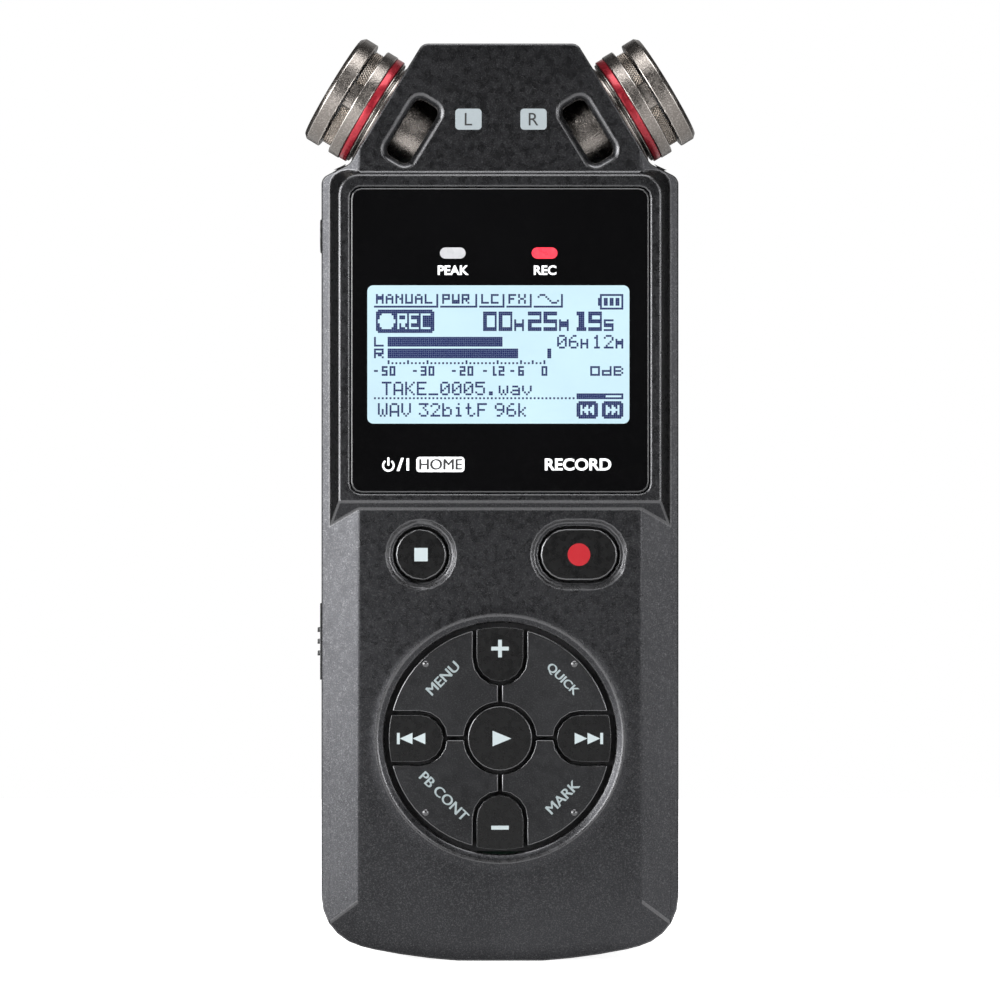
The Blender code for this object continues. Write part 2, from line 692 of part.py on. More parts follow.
def window_cutters():
    """Seat of the window and the opening behind it, down to the inside of the case."""
    seat = prism("window_seat", rounded(rectangle(WINDOW_WIDTH + CLEARANCE, WINDOW_HEIGHT + CLEARANCE,
                                                  WINDOW_CORNER, (0, WINDOW_Z)), 3), "Y",
                 FACE - CUT_PAST, FACE + WINDOW_THICKNESS + CLEARANCE)
    opening_low = LCD_Z - LCD_HEIGHT / 2 - 2 * CLEARANCE
    opening_top = LIGHT_Z + LIGHT_HEIGHT
    width = WINDOW_WIDTH - 2 * WINDOW_LEDGE
    opening = box("window_opening", (-width / 2, FACE, opening_low),
                  (width / 2, DECK + 2 * WALL, opening_top))
    return [seat, opening]


def stacked(name, layers):
    """Cutter through outlines of equally many points, each at its own depth along Y."""
    shape = bmesh.new()
    loops = [[shape.verts.new((x, depth, -z)) for x, z in points] for points, depth in layers]
    for near, far in zip(loops, loops[1:]):
        for index in range(len(near)):
            shape.faces.new((near[index - 1], near[index], far[index], far[index - 1]))
    shape.faces.new(loops[0])
    shape.faces.new(loops[-1])
    bmesh.ops.recalc_face_normals(shape, faces=shape.faces)
    mesh = bpy.data.meshes.new(name)
    shape.to_mesh(mesh)
    shape.free()
    return add_object(name, mesh)


def neck_windows():
    """Oblong openings in front of the microphone barrels, with a sloping edge."""
    mouth = NECK_WINDOW_BEVEL + CUTTER_LAP
    layers = []
    for margin, depth in ((mouth, -CUT_PAST), (mouth, -CUTTER_LAP), (0, NECK_WINDOW_BEVEL), (0, 3 * WALL)):
        outline = rectangle(NECK_WINDOW_LENGTH + 2 * margin, NECK_WINDOW_WIDTH + 2 * margin,
                            NECK_WINDOW_CORNER + margin)
        layers.append((rounded(outline), depth))
    cutters = []
    for side, word in ((-1, "left"), (1, "right")):
        window = stacked("neck_window_" + word, layers)
        window.location = (side * NECK_WINDOW_X, DECK, CASE_HEIGHT - NECK_WINDOW_DROP)
        window.rotation_euler.y = side * (math.pi / 2 - NECK_TILT)
        cutters.append(window)
    return cutters


def screw_places():
    """The four case screws (x, z)."""
    return [(side * SCREW_X, z) for z in (SCREW_LOW_Z, CASE_HEIGHT - SCREW_TOP_DROP)
            for side in (-1, 1)]


KEY_ROW = [
    ("stop_home", -KEY_ROW_X, 2 * STOP_RADIUS, 2 * STOP_RADIUS),
    ("record", KEY_ROW_X, RECORD_LENGTH, RECORD_HEIGHT),
]
CASE_HOLLOW = case_volume("case_hollow", WALL, FACE - 5 * CUT_PAST, BACK + 5 * CUT_PAST)


def front_case():
    """Front shell: deck, sloping sides, display block, neck front and screw bosses."""
    shell = case_volume("front_case", 0, FACE - CUT_PAST, PARTING - CLEARANCE / 2, "case_plastic")
    join(shell, display_block())
    cut(shell, CASE_HOLLOW)
    bores = []
    for index, (x, z) in enumerate(screw_places(), 1):
        boss_front = DECK + 0.9 * WALL
        join(shell, rod(f"front_boss_{index}", BOSS_RADIUS, "Y", boss_front, PARTING - CLEARANCE / 2,
                        (x, z), steps=12))
        bores.append(rod(f"front_bore_{index}", SCREW_RADIUS + CLEARANCE, "Y",
                         DECK + 1.8 * WALL, PARTING + CUT_PAST, (x, z), steps=12))
    cut(shell, *bores, keypad_recess(), *key_recesses(), *window_cutters(), *neck_windows(),
        *SHARED_CUTTERS)
    return shell


# ---------------------------------------------------------------- rear shell

def battery_bay():
    """Solid around the battery bay, and the cutters that open it to the back."""
    outer_half = DOOR_HALF + CLEARANCE + BAY_WALL
    tub = box("bay_tub", (-outer_half, BAY_FRONT - BAY_WALL, DOOR_LOW - BAY_WALL - CLEARANCE),
              (outer_half, BACK - 0.5 * WALL, DOOR_TOP + BAY_WALL + CLEARANCE))
    bay = box("bay_space", (-BAY_HALF, BAY_FRONT, BAY_BOTTOM), (BAY_HALF, BACK + CUT_PAST, BAY_TOP))
    seat_half = DOOR_HALF + CLEARANCE
    seat = box("door_seat", (-seat_half, DOOR_INNER - CLEARANCE, DOOR_LOW - CLEARANCE - DOOR_TRAVEL),
               (seat_half, BACK + CUT_PAST, DOOR_TOP + CLEARANCE))
    return tub, [bay, seat]


def speaker_slots():
    """Row of sound slots through the back."""
    z = CASE_HEIGHT - SPEAKER_DROP
    return [prism(f"sound_slot_{index + 1}",
                  stadium(SLOT_LENGTH, SLOT_WIDTH, (0, z + (index - (SLOT_COUNT - 1) / 2) * SLOT_PITCH), 3),
                  "Y", BACK - 2 * WALL, BACK + CUT_PAST) for index in range(SLOT_COUNT)]


def tripod_seat():
    """Boss for the tripod nut and the stepped hole that the nut sits in."""
    boss_front = BACK - TRIPOD_LENGTH - 1.5 * WALL
    boss = rod("tripod_boss", TRIPOD_RADIUS + WALL, "Y", boss_front, BACK - 0.5 * WALL, (0, TRIPOD_Z),
               steps=24)
    hole = rod("tripod_hole", TRIPOD_RADIUS + CLEARANCE, "Y", BACK - TRIPOD_LENGTH - CLEARANCE,
               BACK + CUT_PAST, (0, TRIPOD_Z), steps=24)
    return boss, hole


def rear_case():
    """Rear shell: back, battery bay, tripod boss, screw bosses and sound slots."""
    shell = case_volume("rear_case", 0, PARTING + CLEARANCE / 2, BACK + CUT_PAST, "case_plastic")
    cut(shell, CASE_HOLLOW)
    bores = []
    for index, (x, z) in enumerate(screw_places(), 1):
        join(shell, rod(f"rear_boss_{index}", BOSS_RADIUS, "Y", PARTING + CLEARANCE / 2,
                        BACK - 0.5 * WALL, (x, z), steps=12))
        head_seat = BACK - SCREW_SINK - SCREW_HEAD_LENGTH - CLEARANCE
        bores.append(rod(f"rear_bore_{index}", SCREW_RADIUS + CLEARANCE, "Y", PARTING - CUT_PAST,
                         BACK - CUT_PAST, (x, z), steps=12))
        bores.append(rod(f"head_bore_{index}", SCREW_HEAD_RADIUS + CLEARANCE, "Y", head_seat,
                         BACK + CUT_PAST, (x, z), steps=12))
    tub, bay_cutters = battery_bay()
    boss, hole = tripod_seat()
    join(shell, tub, boss)
    cut(shell, *bay_cutters, hole, *bores, *speaker_slots(), *SHARED_CUTTERS)
    return shell


front_case()
rear_case()


# ---------------------------------------------------------------- display

def display_stack():
    """Window, display, its light tray, and the two light pipes."""
    window = prism("display_window", rounded(rectangle(WINDOW_WIDTH, WINDOW_HEIGHT, WINDOW_CORNER,
                                                       (0, WINDOW_Z)), 3), "Y",
                   FACE, FACE + WINDOW_THICKNESS, "window_black")
    soften(window, 0.15 * MM)
    lcd_front = FACE + WINDOW_THICKNESS + 2 * CLEARANCE
    lcd_back = lcd_front + LCD_THICKNESS
    box("lcd_panel", (-LCD_WIDTH / 2, lcd_front, LCD_Z - LCD_HEIGHT / 2),
        (LCD_WIDTH / 2, lcd_back, LCD_Z + LCD_HEIGHT / 2), "lcd_blue")
    tray_front = lcd_back + CLEARANCE
    box("light_tray", (-LCD_WIDTH / 2, tray_front, LCD_Z - LCD_HEIGHT / 2),
        (LCD_WIDTH / 2, min(tray_front + TRAY_THICKNESS, BOARD_FRONT - CLEARANCE),
         LCD_Z + LCD_HEIGHT / 2), "tray_white")
    for name, side, look in (("peak_light_pipe", -1, "light_grey"), ("record_light_pipe", 1, "light_red")):
        points = stadium(LIGHT_LENGTH, LIGHT_HEIGHT, (side * LIGHT_OFFSET, LIGHT_Z), 6)
        prism(name, points, "Y", lcd_front, BOARD_FRONT - CLEARANCE, look)


# ---------------------------------------------------------------- keys

def arm_outline(margin):
    """Upper arm key around the pad's middle: round inner end, sides, outer arc."""
    half = ARM_WIDTH / 2 + margin
    centre_z = ARM_START + ARM_WIDTH / 2
    points = []
    for step in range(9):
        turn = math.pi + math.pi * step / 8
        points.append((half * math.cos(turn), centre_z + half * math.sin(turn)))
    reach = PAD_RADIUS + (CUT_PAST if margin else 0)
    edge = math.asin(half / reach)
    for step in range(7):
        turn = edge - 2 * edge * step / 6
        points.append((reach * math.sin(turn), reach * math.cos(turn)))
    return points


def pad_place(obj, quarter_turns=0):
    """Move a piece from the pad's own axes to its place, turned about the pad's middle."""
    obj.location.z = PAD_Z
    obj.rotation_euler.y = quarter_turns * math.pi / 2
    return obj


def pad_keys():
    """Play key, four arm keys and four corner keys."""
    play = pad_place(rod("play_key", PLAY_RADIUS, "Y", KEY_TOP, KEY_UNDER, (0, 0), "key_plastic", 32))
    soften(play, 0.4 * MM)
    for turn, name in enumerate(("plus_key", "forward_key", "minus_key", "rewind_key")):
        arm = pad_place(prism(name, arm_outline(0), "Y", KEY_TOP, KEY_UNDER, "key_plastic"), turn)
        soften(arm, 0.3 * MM)
    ring_hole = pad_place(rod("corner_inner", PLAY_RADIUS + KEY_GAP, "Y", DECK - 4 * MM, DECK + 8 * MM,
                              (0, 0), steps=32))
    arm_gaps = [pad_place(prism(f"arm_gap_{turn}", arm_outline(KEY_GAP), "Y", DECK - 4 * MM,
                                DECK + 8 * MM), turn) for turn in range(4)]
    dish = turned("pad_dish", [(0, CUT_PAST), (DISH_RADIUS, CUT_PAST), (DISH_RADIUS, 0),
                               (0.75 * DISH_RADIUS, -0.7 * DISH_DEPTH), (PLAY_RADIUS, -DISH_DEPTH),
                               (0, -DISH_DEPTH)], steps=64)
    dish.rotation_euler = (math.pi / 2, 0, 0)
    dish.location = (0, DECK, PAD_Z)
    names = ("quick_key", "mark_key", "playback_key", "menu_key")
    for turn, name in enumerate(names):
        corner = pad_place(rod(name, PAD_RADIUS, "Y", DECK, KEY_UNDER, (0, 0), "key_plastic", 64))
        side_x, side_z = (1, 1, -1, -1)[turn], (1, -1, -1, 1)[turn]
        near, far = KEY_GAP / 2, 2 * PAD_RADIUS
        quarter = box(name + "_quarter", (min(side_x * near, side_x * far), DECK - 4 * MM,
                                          min(side_z * near, side_z * far)),
                      (max(side_x * near, side_x * far), DECK + 8 * MM,
                       max(side_z * near, side_z * far)))
        quarter.location.z += PAD_Z
        keep_inside(corner, quarter)
        cut(corner, ring_hole, arm_gaps[turn], arm_gaps[(turn + 1) % 4], dish)


def row_keys():
    """Stop key and record key."""
    for name, x, length, height in KEY_ROW:
        key = prism(name + "_key", stadium(length, height, (x, KEY_ROW_Z)), "Y", KEY_TOP, KEY_UNDER,
                    "key_plastic")
        soften(key, 0.3 * MM)


def key_mat():
    """Rubber mat under all the keys."""
    width = RECORD_LENGTH + 2 * KEY_ROW_X + 2 * MM
    low, top = PAD_Z - PAD_RADIUS - 0.5 * MM, KEY_ROW_Z + RECORD_HEIGHT / 2 + 1 * MM
    corners = rectangle(width, top - low, 3 * MM, (0, (low + top) / 2))
    prism("key_mat", rounded(corners, 3), "Y", MAT_FRONT, MAT_FRONT + MAT_THICKNESS, "mat_rubber")


def main_board():
    width = 2 * (HALF - WALL - BOARD_SIDE_GAP)
    height = CASE_HEIGHT - BOARD_DROP - BOARD_BOTTOM
    corners = rectangle(width, height, 2 * MM, (0, BOARD_BOTTOM + height / 2))
    prism("main_board", rounded(corners, 2), "Y", BOARD_FRONT, BOARD_BACK, "board_green")


# ---------------------------------------------------------------- microphones

def microphones():
    """Each microphone: barrel in the neck, accent ring, knurled collar, cap, grille and capsule."""
    accent_start = MIC_COLLAR_END + CLEARANCE
    base_start = accent_start + MIC_ACCENT_LENGTH + CLEARANCE
    bore = MIC_BARREL_RADIUS - MIC_WALL
    seat = -GRILLE_SETBACK - GRILLE_THICKNESS - CLEARANCE
    rings = {
        "barrel": ("mic_metal", [
            (bore, -base_start), (MIC_BASE_RADIUS, -base_start),
            (MIC_BASE_RADIUS, -MIC_OUT - WALL), (MIC_BARREL_RADIUS, -MIC_OUT - WALL),
            (MIC_BARREL_RADIUS, -MIC_BARREL_END), (0, -MIC_BARREL_END),
            (0, -MIC_BARREL_END + MIC_WALL), (bore, -MIC_BARREL_END + MIC_WALL)]),
        "accent_ring": ("accent_red", [
            (bore, -accent_start), (MIC_RADIUS, -accent_start),
            (MIC_RADIUS, -accent_start - MIC_ACCENT_LENGTH), (bore, -accent_start - MIC_ACCENT_LENGTH)]),
        "collar": ("mic_metal", [
            (bore, -MIC_CAP_LENGTH - CLEARANCE), (MIC_KNURL_RADIUS, -MIC_CAP_LENGTH - CLEARANCE),
            (MIC_KNURL_RADIUS, -MIC_KNURL_END), (MIC_RADIUS, -MIC_KNURL_END),
            (MIC_RADIUS, -MIC_COLLAR_END), (bore, -MIC_COLLAR_END)]),
        "cap": ("mic_metal", [
            (bore + MIC_WALL / 2, 0), (MIC_RADIUS - 0.4 * MM, 0), (MIC_RADIUS, -0.4 * MM),
            (MIC_RADIUS, -MIC_CAP_LENGTH), (bore - MIC_WALL / 2, -MIC_CAP_LENGTH),
            (bore - MIC_WALL / 2, seat), (bore + MIC_WALL / 2, seat)]),
    }
    for side, frame in MIC_FRAMES.items():
        word = "left" if side < 0 else "right"
        for part, (look, profile) in rings.items():
            closed = profile[0][0] > 0 and part != "barrel"
            on_frame(turned(f"mic_{part}_{word}", profile, look, closed or part == "barrel"), frame)
        grille = bore + MIC_WALL / 2 - CLEARANCE
        on_frame(turned(f"mic_grille_{word}", [
            (0, -GRILLE_SETBACK), (grille, -GRILLE_SETBACK),
            (grille, -GRILLE_SETBACK - GRILLE_THICKNESS), (0, -GRILLE_SETBACK - GRILLE_THICKNESS)],
            "grille_steel"), frame)
        capsule_top = seat - CLEARANCE
        on_frame(turned(f"mic_capsule_{word}", [
            (0, capsule_top), (CAPSULE_RADIUS, capsule_top),
            (CAPSULE_RADIUS, capsule_top - CAPSULE_LENGTH), (0, capsule_top - CAPSULE_LENGTH)],
            "steel", steps=24), frame)


# ---------------------------------------------------------------- sockets and card

def jack_profile():
    """Audio socket with its collar up, its bore open at the top."""
    return [(JACK_BORE, JACK_PROUD), (JACK_RADIUS, JACK_PROUD), (JACK_RADIUS, -WALL - CLEARANCE),
            (JACK_BODY_RADIUS, -WALL - CLEARANCE), (JACK_BODY_RADIUS, -JACK_LENGTH), (0, -JACK_LENGTH),
            (0, WALL - JACK_LENGTH), (JACK_BORE, WALL - JACK_LENGTH)]


def audio_jacks():
    mic_jack = turned("mic_jack", jack_profile(), "black_plastic", True, SMALL_STEPS)
    mic_jack.location = (0, PARTING, CASE_HEIGHT)
    phones = turned("phones_jack", jack_profile(), "black_plastic", True, SMALL_STEPS)
    phones.location = (-HALF, PARTING, CASE_HEIGHT - PHONES_DROP)
    phones.rotation_euler = (0, -math.pi / 2, 0)


def usb_port():
    """Metal shell with a back wall and a tongue."""
    outer = HALF - USB_SETBACK
    port = prism("usb_port", usb_outline(0), "X", outer - USB_DEPTH, outer, "steel")
    cavity = prism("usb_cavity", usb_outline(-USB_SHELL), "X", outer - USB_DEPTH + 2 * USB_SHELL,
                   outer + CUT_PAST)
    tongue = box("usb_tongue", (outer - USB_DEPTH + USB_SHELL, USB_Y - USB_TONGUE / 2,
                                USB_Z - 0.37 * USB_LENGTH),
                 (outer - 2 * USB_SHELL, USB_Y + USB_TONGUE / 2, USB_Z + 0.37 * USB_LENGTH))
    cut(port, cavity)
    join(port, tongue)


def card_and_socket():
    """Memory card in its push-in socket, open towards the door."""
    card_end = HALF - CARD_DOOR_THICKNESS - CARD_ROOM - CARD_EJECT
    card = box("memory_card", (card_end - CARD_LENGTH, CARD_Y - CARD_THICKNESS / 2, CARD_Z - CARD_WIDTH / 2),
               (card_end, CARD_Y + CARD_THICKNESS / 2, CARD_Z + CARD_WIDTH / 2), "black_plastic")
    soften(card, 0.15 * MM)
    room = CARD_THICKNESS / 2 + CLEARANCE
    half_width = CARD_WIDTH / 2 + CLEARANCE
    back = card_end - CARD_LENGTH - CLEARANCE
    front = card_end - 1.0 * MM
    socket = box("card_socket", (back - SOCKET_WALL, CARD_Y - room - SOCKET_WALL,
                                 CARD_Z - half_width - SOCKET_WALL),
                 (front, CARD_Y + room + SOCKET_WALL, CARD_Z + half_width + SOCKET_WALL), "steel")
    cut(socket, box("socket_space", (back, CARD_Y - room, CARD_Z - half_width),
                    (front + CUT_PAST, CARD_Y + room, CARD_Z + half_width)))


def card_door():
    """Door flush with the side; its hinge pin lies along its lower edge, front to back."""
    inner = HALF - CARD_DOOR_THICKNESS
    door = box("card_door", (inner, CARD_Y - CARD_DOOR_WIDTH / 2, CARD_Z - CARD_DOOR_LENGTH / 2),
               (HALF, CARD_Y + CARD_DOOR_WIDTH / 2, CARD_Z + CARD_DOOR_LENGTH / 2), "black_plastic")
    soften(door, 0.25 * MM)
    return door


# ---------------------------------------------------------------- hold switch

def hold_switch():
    """Ribbed slider in its track, and the switch body that its stem works."""
    outer = -HALF - HOLD_PROUD
    inner = outer + HOLD_THICKNESS
    slider = box("hold_slider", (outer, PARTING - HOLD_WIDTH / 2, HOLD_Z - HOLD_LENGTH / 2),
                 (inner, PARTING + HOLD_WIDTH / 2, HOLD_Z + HOLD_LENGTH / 2), "black_plastic")
    half_stem = HOLD_STEM / 2
    join(slider, box("hold_stem", (inner - 0.2 * MM, PARTING - half_stem, HOLD_Z - half_stem),
                     (inner + HOLD_STEM_DEPTH, PARTING + half_stem, HOLD_Z + half_stem)))
    for step in (-1, 0, 1):
        z = HOLD_Z + step * RIB_PITCH
        join(slider, box(f"hold_rib_{step}", (outer - RIB_PROUD, PARTING - 0.42 * HOLD_WIDTH,
                                              z - RIB_HEIGHT / 2),
                         (outer + 0.2 * MM, PARTING + 0.42 * HOLD_WIDTH, z + RIB_HEIGHT / 2)))
    body_outer = inner + HOLD_STEM_DEPTH + CLEARANCE
    box("hold_switch", (body_outer, PARTING - 1.8 * MM, HOLD_Z + HOLD_TRAVEL / 2 - 4.5 * MM),
        (body_outer + 2.4 * MM, PARTING + 1.8 * MM, HOLD_Z + HOLD_TRAVEL / 2 + 4.5 * MM), "steel")


# ---------------------------------------------------------------- batteries and their door

def batteries():
    """Two round cells side by side, the second one upside down, between plates and springs."""
    low = BAY_BOTTOM + BAY_END_ROOM
    length = BATTERY_LENGTH + NUB_LENGTH
    profile = [(0, length), (NUB_RADIUS, length), (NUB_RADIUS, BATTERY_LENGTH),
               (BATTERY_RADIUS, BATTERY_LENGTH), (BATTERY_RADIUS, 0), (0, 0)]
    for index, side in enumerate((-1, 1), 1):
        cell = turned(f"battery_{index}", profile, "battery_skin", steps=32)
        cell.location = (side * BATTERY_X, BATTERY_Y, low)
        if side > 0:
            cell.rotation_euler = (math.pi, 0, 0)
            cell.location.z = low + length


def contacts():
    """Bridge plate at the bottom of the bay, one plate for each cell at the top, pips for the nubs."""
    half = CONTACT_WIDTH / 2
    low = BAY_BOTTOM + CLEARANCE
    top = BAY_TOP - CLEARANCE
    bridge = box("contact_bridge", (-BATTERY_X - half, BATTERY_Y - half, low),
                 (BATTERY_X + half, BATTERY_Y + half, low + CONTACT_THICKNESS), "steel")
    join(bridge, rod("bridge_pip", PIP_RADIUS, "Z", low + CONTACT_THICKNESS / 2,
                     BAY_BOTTOM + BAY_END_ROOM - CLEARANCE, (BATTERY_X, BATTERY_Y)))
    for name, side in (("contact_plus", -1), ("contact_minus", 1)):
        x = side * BATTERY_X
        plate = box(name, (x - half, BATTERY_Y - half, top - CONTACT_THICKNESS),
                    (x + half, BATTERY_Y + half, top), "steel")
        if side < 0:
            join(plate, rod("plus_pip", PIP_RADIUS, "Z", BAY_TOP - BAY_END_ROOM + CLEARANCE,
                            top - CONTACT_THICKNESS / 2, (x, BATTERY_Y)))


def coil(name, start, end, center):
    """Contact spring wound about a cell's axis between two heights."""
    curve = bpy.data.curves.new(name, "CURVE")
    curve.dimensions = "3D"
    curve.bevel_depth = SPRING_WIRE
    curve.bevel_resolution = 2
    curve.use_fill_caps = True
    steps = 14 * SPRING_TURNS
    spline = curve.splines.new("POLY")
    spline.points.add(steps)
    for step, point in enumerate(spline.points):
        share = step / steps
        turn = 2 * math.pi * SPRING_TURNS * share
        radius = SPRING_RADIUS * (1 - 0.35 * share)
        point.co = (center[0] + radius * math.cos(turn), center[1] + radius * math.sin(turn),
                    start + (end - start) * share, 1)
    obj = bpy.data.objects.new(name, curve)
    PARTS.objects.link(obj)
    curve.materials.append(finish("steel"))


def springs():
    """A spring presses on the flat end of each cell."""
    inset = CLEARANCE + SPRING_WIRE
    plate = CLEARANCE + CONTACT_THICKNESS
    coil("spring_1", BAY_BOTTOM + plate + inset, BAY_BOTTOM + BAY_END_ROOM - inset,
         (-BATTERY_X, BATTERY_Y))
    coil("spring_2", BAY_TOP - plate - inset, BAY_TOP - BAY_END_ROOM + inset, (BATTERY_X, BATTERY_Y))


def battery_door():
    """Sliding door with a ribbed grip near its top."""
    door = box("battery_door", (-DOOR_HALF, DOOR_INNER, DOOR_LOW), (DOOR_HALF, BACK, DOOR_TOP),
               "case_plastic")
    soften(door, 0.3 * MM)
    for rib in range(GRIP_RIBS):
        z = DOOR_TOP - 6 * MM - rib * 2 * GRIP_PITCH
        cut(door, box(f"grip_{rib}", (-GRIP_WIDTH / 2, BACK - GRIP_DEPTH, z - GRIP_PITCH / 2),
                      (GRIP_WIDTH / 2, BACK + CUT_PAST, z + GRIP_PITCH / 2)))


# ---------------------------------------------------------------- loudspeaker, tripod nut, screws

def loudspeaker():
    back = BACK - WALL - CLEARANCE
    rod("loudspeaker", SPEAKER_RADIUS, "Y", back - SPEAKER_DEPTH, back,
        (0, CASE_HEIGHT - SPEAKER_DROP), "black_plastic", 32)


def tripod_nut():
    """Brass nut, its bore open to the back."""
    nut = rod("tripod_nut", TRIPOD_RADIUS, "Y", BACK - TRIPOD_LENGTH, BACK, (0, TRIPOD_Z), "brass", 24)
    cut(nut, rod("tripod_bore", TRIPOD_BORE, "Y", BACK - TRIPOD_LENGTH + MM, BACK + CUT_PAST,
                 (0, TRIPOD_Z), steps=24))


def case_screws():
    """Four screws from the back, sunk in the rear shell's bosses."""
    head = [(0, 0), (SCREW_HEAD_RADIUS, 0), (SCREW_HEAD_RADIUS, -SCREW_HEAD_LENGTH),
            (SCREW_RADIUS, -SCREW_HEAD_LENGTH), (SCREW_RADIUS, -SCREW_HEAD_LENGTH - SCREW_LENGTH),
            (0, -SCREW_HEAD_LENGTH - SCREW_LENGTH)]
    for index, (x, z) in enumerate(screw_places(), 1):
        screw = turned(f"case_screw_{index}", head, "steel", steps=12)
        screw.location = (x, BACK - SCREW_SINK, z)
        screw.rotation_euler = (-math.pi / 2, 0, 0)


display_stack()
pad_keys()
row_keys()
key_mat()
main_board()
microphones()
audio_jacks()
usb_port()
card_and_socket()
card_door()
hold_switch()
batteries()
contacts()
springs()
battery_door()
loudspeaker()
tripod_nut()
case_screws()
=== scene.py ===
import math

import bpy
from mathutils import Matrix, Vector


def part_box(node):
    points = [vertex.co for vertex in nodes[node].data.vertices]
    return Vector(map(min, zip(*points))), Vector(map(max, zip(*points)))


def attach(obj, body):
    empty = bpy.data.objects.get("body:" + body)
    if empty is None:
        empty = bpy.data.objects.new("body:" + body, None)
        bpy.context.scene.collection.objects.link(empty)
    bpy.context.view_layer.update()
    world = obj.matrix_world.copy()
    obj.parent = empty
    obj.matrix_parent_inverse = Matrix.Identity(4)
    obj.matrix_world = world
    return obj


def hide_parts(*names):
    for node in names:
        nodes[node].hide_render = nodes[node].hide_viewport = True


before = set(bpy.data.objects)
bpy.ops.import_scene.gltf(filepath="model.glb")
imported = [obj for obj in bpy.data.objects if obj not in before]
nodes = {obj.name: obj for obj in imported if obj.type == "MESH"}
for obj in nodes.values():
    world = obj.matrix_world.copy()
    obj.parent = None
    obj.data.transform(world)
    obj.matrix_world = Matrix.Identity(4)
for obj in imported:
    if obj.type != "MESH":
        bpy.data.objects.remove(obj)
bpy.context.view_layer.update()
mm = 0.001
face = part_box("front_case")[0][1]       # front of the display block; y grows towards the back
deck = face + 1.0 * mm
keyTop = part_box("play_key")[0][1]
padMiddle = sum((Vector(corner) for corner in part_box("play_key")), Vector()) / 2
proud = 0.025 * mm                      # how far a print stands out of its ground
print("frame loaded:", len(nodes), "nodes")


# ---- small helpers

def deselectAll():
    if bpy.context.object and bpy.context.object.mode != "OBJECT":
        bpy.ops.object.mode_set(mode="OBJECT")
    bpy.ops.object.select_all(action="DESELECT")


def makeActive(piece):
    deselectAll()
    piece.select_set(True)
    bpy.context.view_layer.objects.active = piece


def applyModifiers(piece):
    makeActive(piece)
    for modifier in list(piece.modifiers):
        bpy.ops.object.modifier_apply(modifier=modifier.name)


def bakePlace(piece):
    makeActive(piece)
    bpy.ops.object.transform_apply(location=True, rotation=True, scale=True)


def smooth(piece, angle=35, bevelled=True):
    makeActive(piece)
    bpy.ops.object.shade_smooth_by_angle(angle=math.radians(angle))
    if bevelled:            # the big flats keep their own normals; only the narrow edges turn
        normals = piece.modifiers.new("flatNormals", "WEIGHTED_NORMAL")
        normals.weight = 90
        normals.keep_sharp = True
        applyModifiers(piece)


def setMaterials(piece, *materials):
    piece.data.materials.clear()
    for material in materials:
        piece.data.materials.append(material)


def addBevel(piece, width, segments=2, angle=32, edgeSlot=-1):
    bevel = piece.modifiers.new("softEdges", "BEVEL")
    bevel.width = width
    bevel.segments = segments
    bevel.limit_method = "ANGLE"
    bevel.angle_limit = math.radians(angle)
    bevel.material = edgeSlot
    # the front shell has a few very short edges, and the clamp would shrink all its bevels to suit them
    bevel.use_clamp_overlap = piece.name != "frontShell"


def refine(node, name, materials, width, segments=2, body="root", angle=32, reshape=None):
    # a merged copy of a CAD node, its sharp edges rounded and given the second material, a lighter copy
    # that paints a highlight along them
    piece = bpy.data.objects.new(name, nodes[node].data.copy())
    bpy.context.scene.collection.objects.link(piece)
    makeActive(piece)
    bpy.ops.object.mode_set(mode="EDIT")
    bpy.ops.mesh.select_all(action="SELECT")
    bpy.ops.mesh.remove_doubles(threshold=0.002 * mm)
    bpy.ops.mesh.dissolve_limited(angle_limit=math.radians(0.5))
    bpy.ops.object.mode_set(mode="OBJECT")
    if reshape:
        reshape(piece)
    setMaterials(piece, *materials)
    addBevel(piece, width, segments, angle, 1 if len(materials) > 1 else -1)
    applyModifiers(piece)
    smooth(piece)
    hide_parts(node)
    finishPiece(piece, body)


def finishPiece(piece, body):
    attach(piece, body)
    return piece


# ---- shader groups

def newGroup(name, inputs, outputs):
    group = bpy.data.node_groups.new(name, "ShaderNodeTree")
    for label, kind, value in inputs:
        socket = group.interface.new_socket(label, in_out="INPUT", socket_type=kind)
        socket.default_value = value
    for label, kind in outputs:
        group.interface.new_socket(label, in_out="OUTPUT", socket_type=kind)
    entry = group.nodes.new("NodeGroupInput")
    leave = group.nodes.new("NodeGroupOutput")
    return group, entry, leave


def mixColor(tree, factor, first, second):
    mix = tree.nodes.new("ShaderNodeMix")
    mix.data_type = "RGBA"
    for socket, value in ((mix.inputs[0], factor), (mix.inputs[6], first), (mix.inputs[7], second)):
        if isinstance(value, bpy.types.NodeSocket):
            tree.links.new(value, socket)
        else:
            socket.default_value = value
    return mix.outputs[2]


def mapRange(tree, value, low, high, outLow=0.0, outHigh=1.0):
    node = tree.nodes.new("ShaderNodeMapRange")
    node.inputs["From Min"].default_value = low
    node.inputs["From Max"].default_value = high
    node.inputs["To Min"].default_value = outLow
    node.inputs["To Max"].default_value = outHigh
    tree.links.new(value, node.inputs["Value"])
    return node.outputs["Result"]


def noise(tree, vector, scale, detail=2.0, roughness=0.5):
    node = tree.nodes.new("ShaderNodeTexNoise")
    if isinstance(scale, bpy.types.NodeSocket):
        tree.links.new(scale, node.inputs["Scale"])
    else:
        node.inputs["Scale"].default_value = scale
    node.inputs["Detail"].default_value = detail
    node.inputs["Roughness"].default_value = roughness
    tree.links.new(vector, node.inputs["Vector"])
    return node.outputs["Fac"]


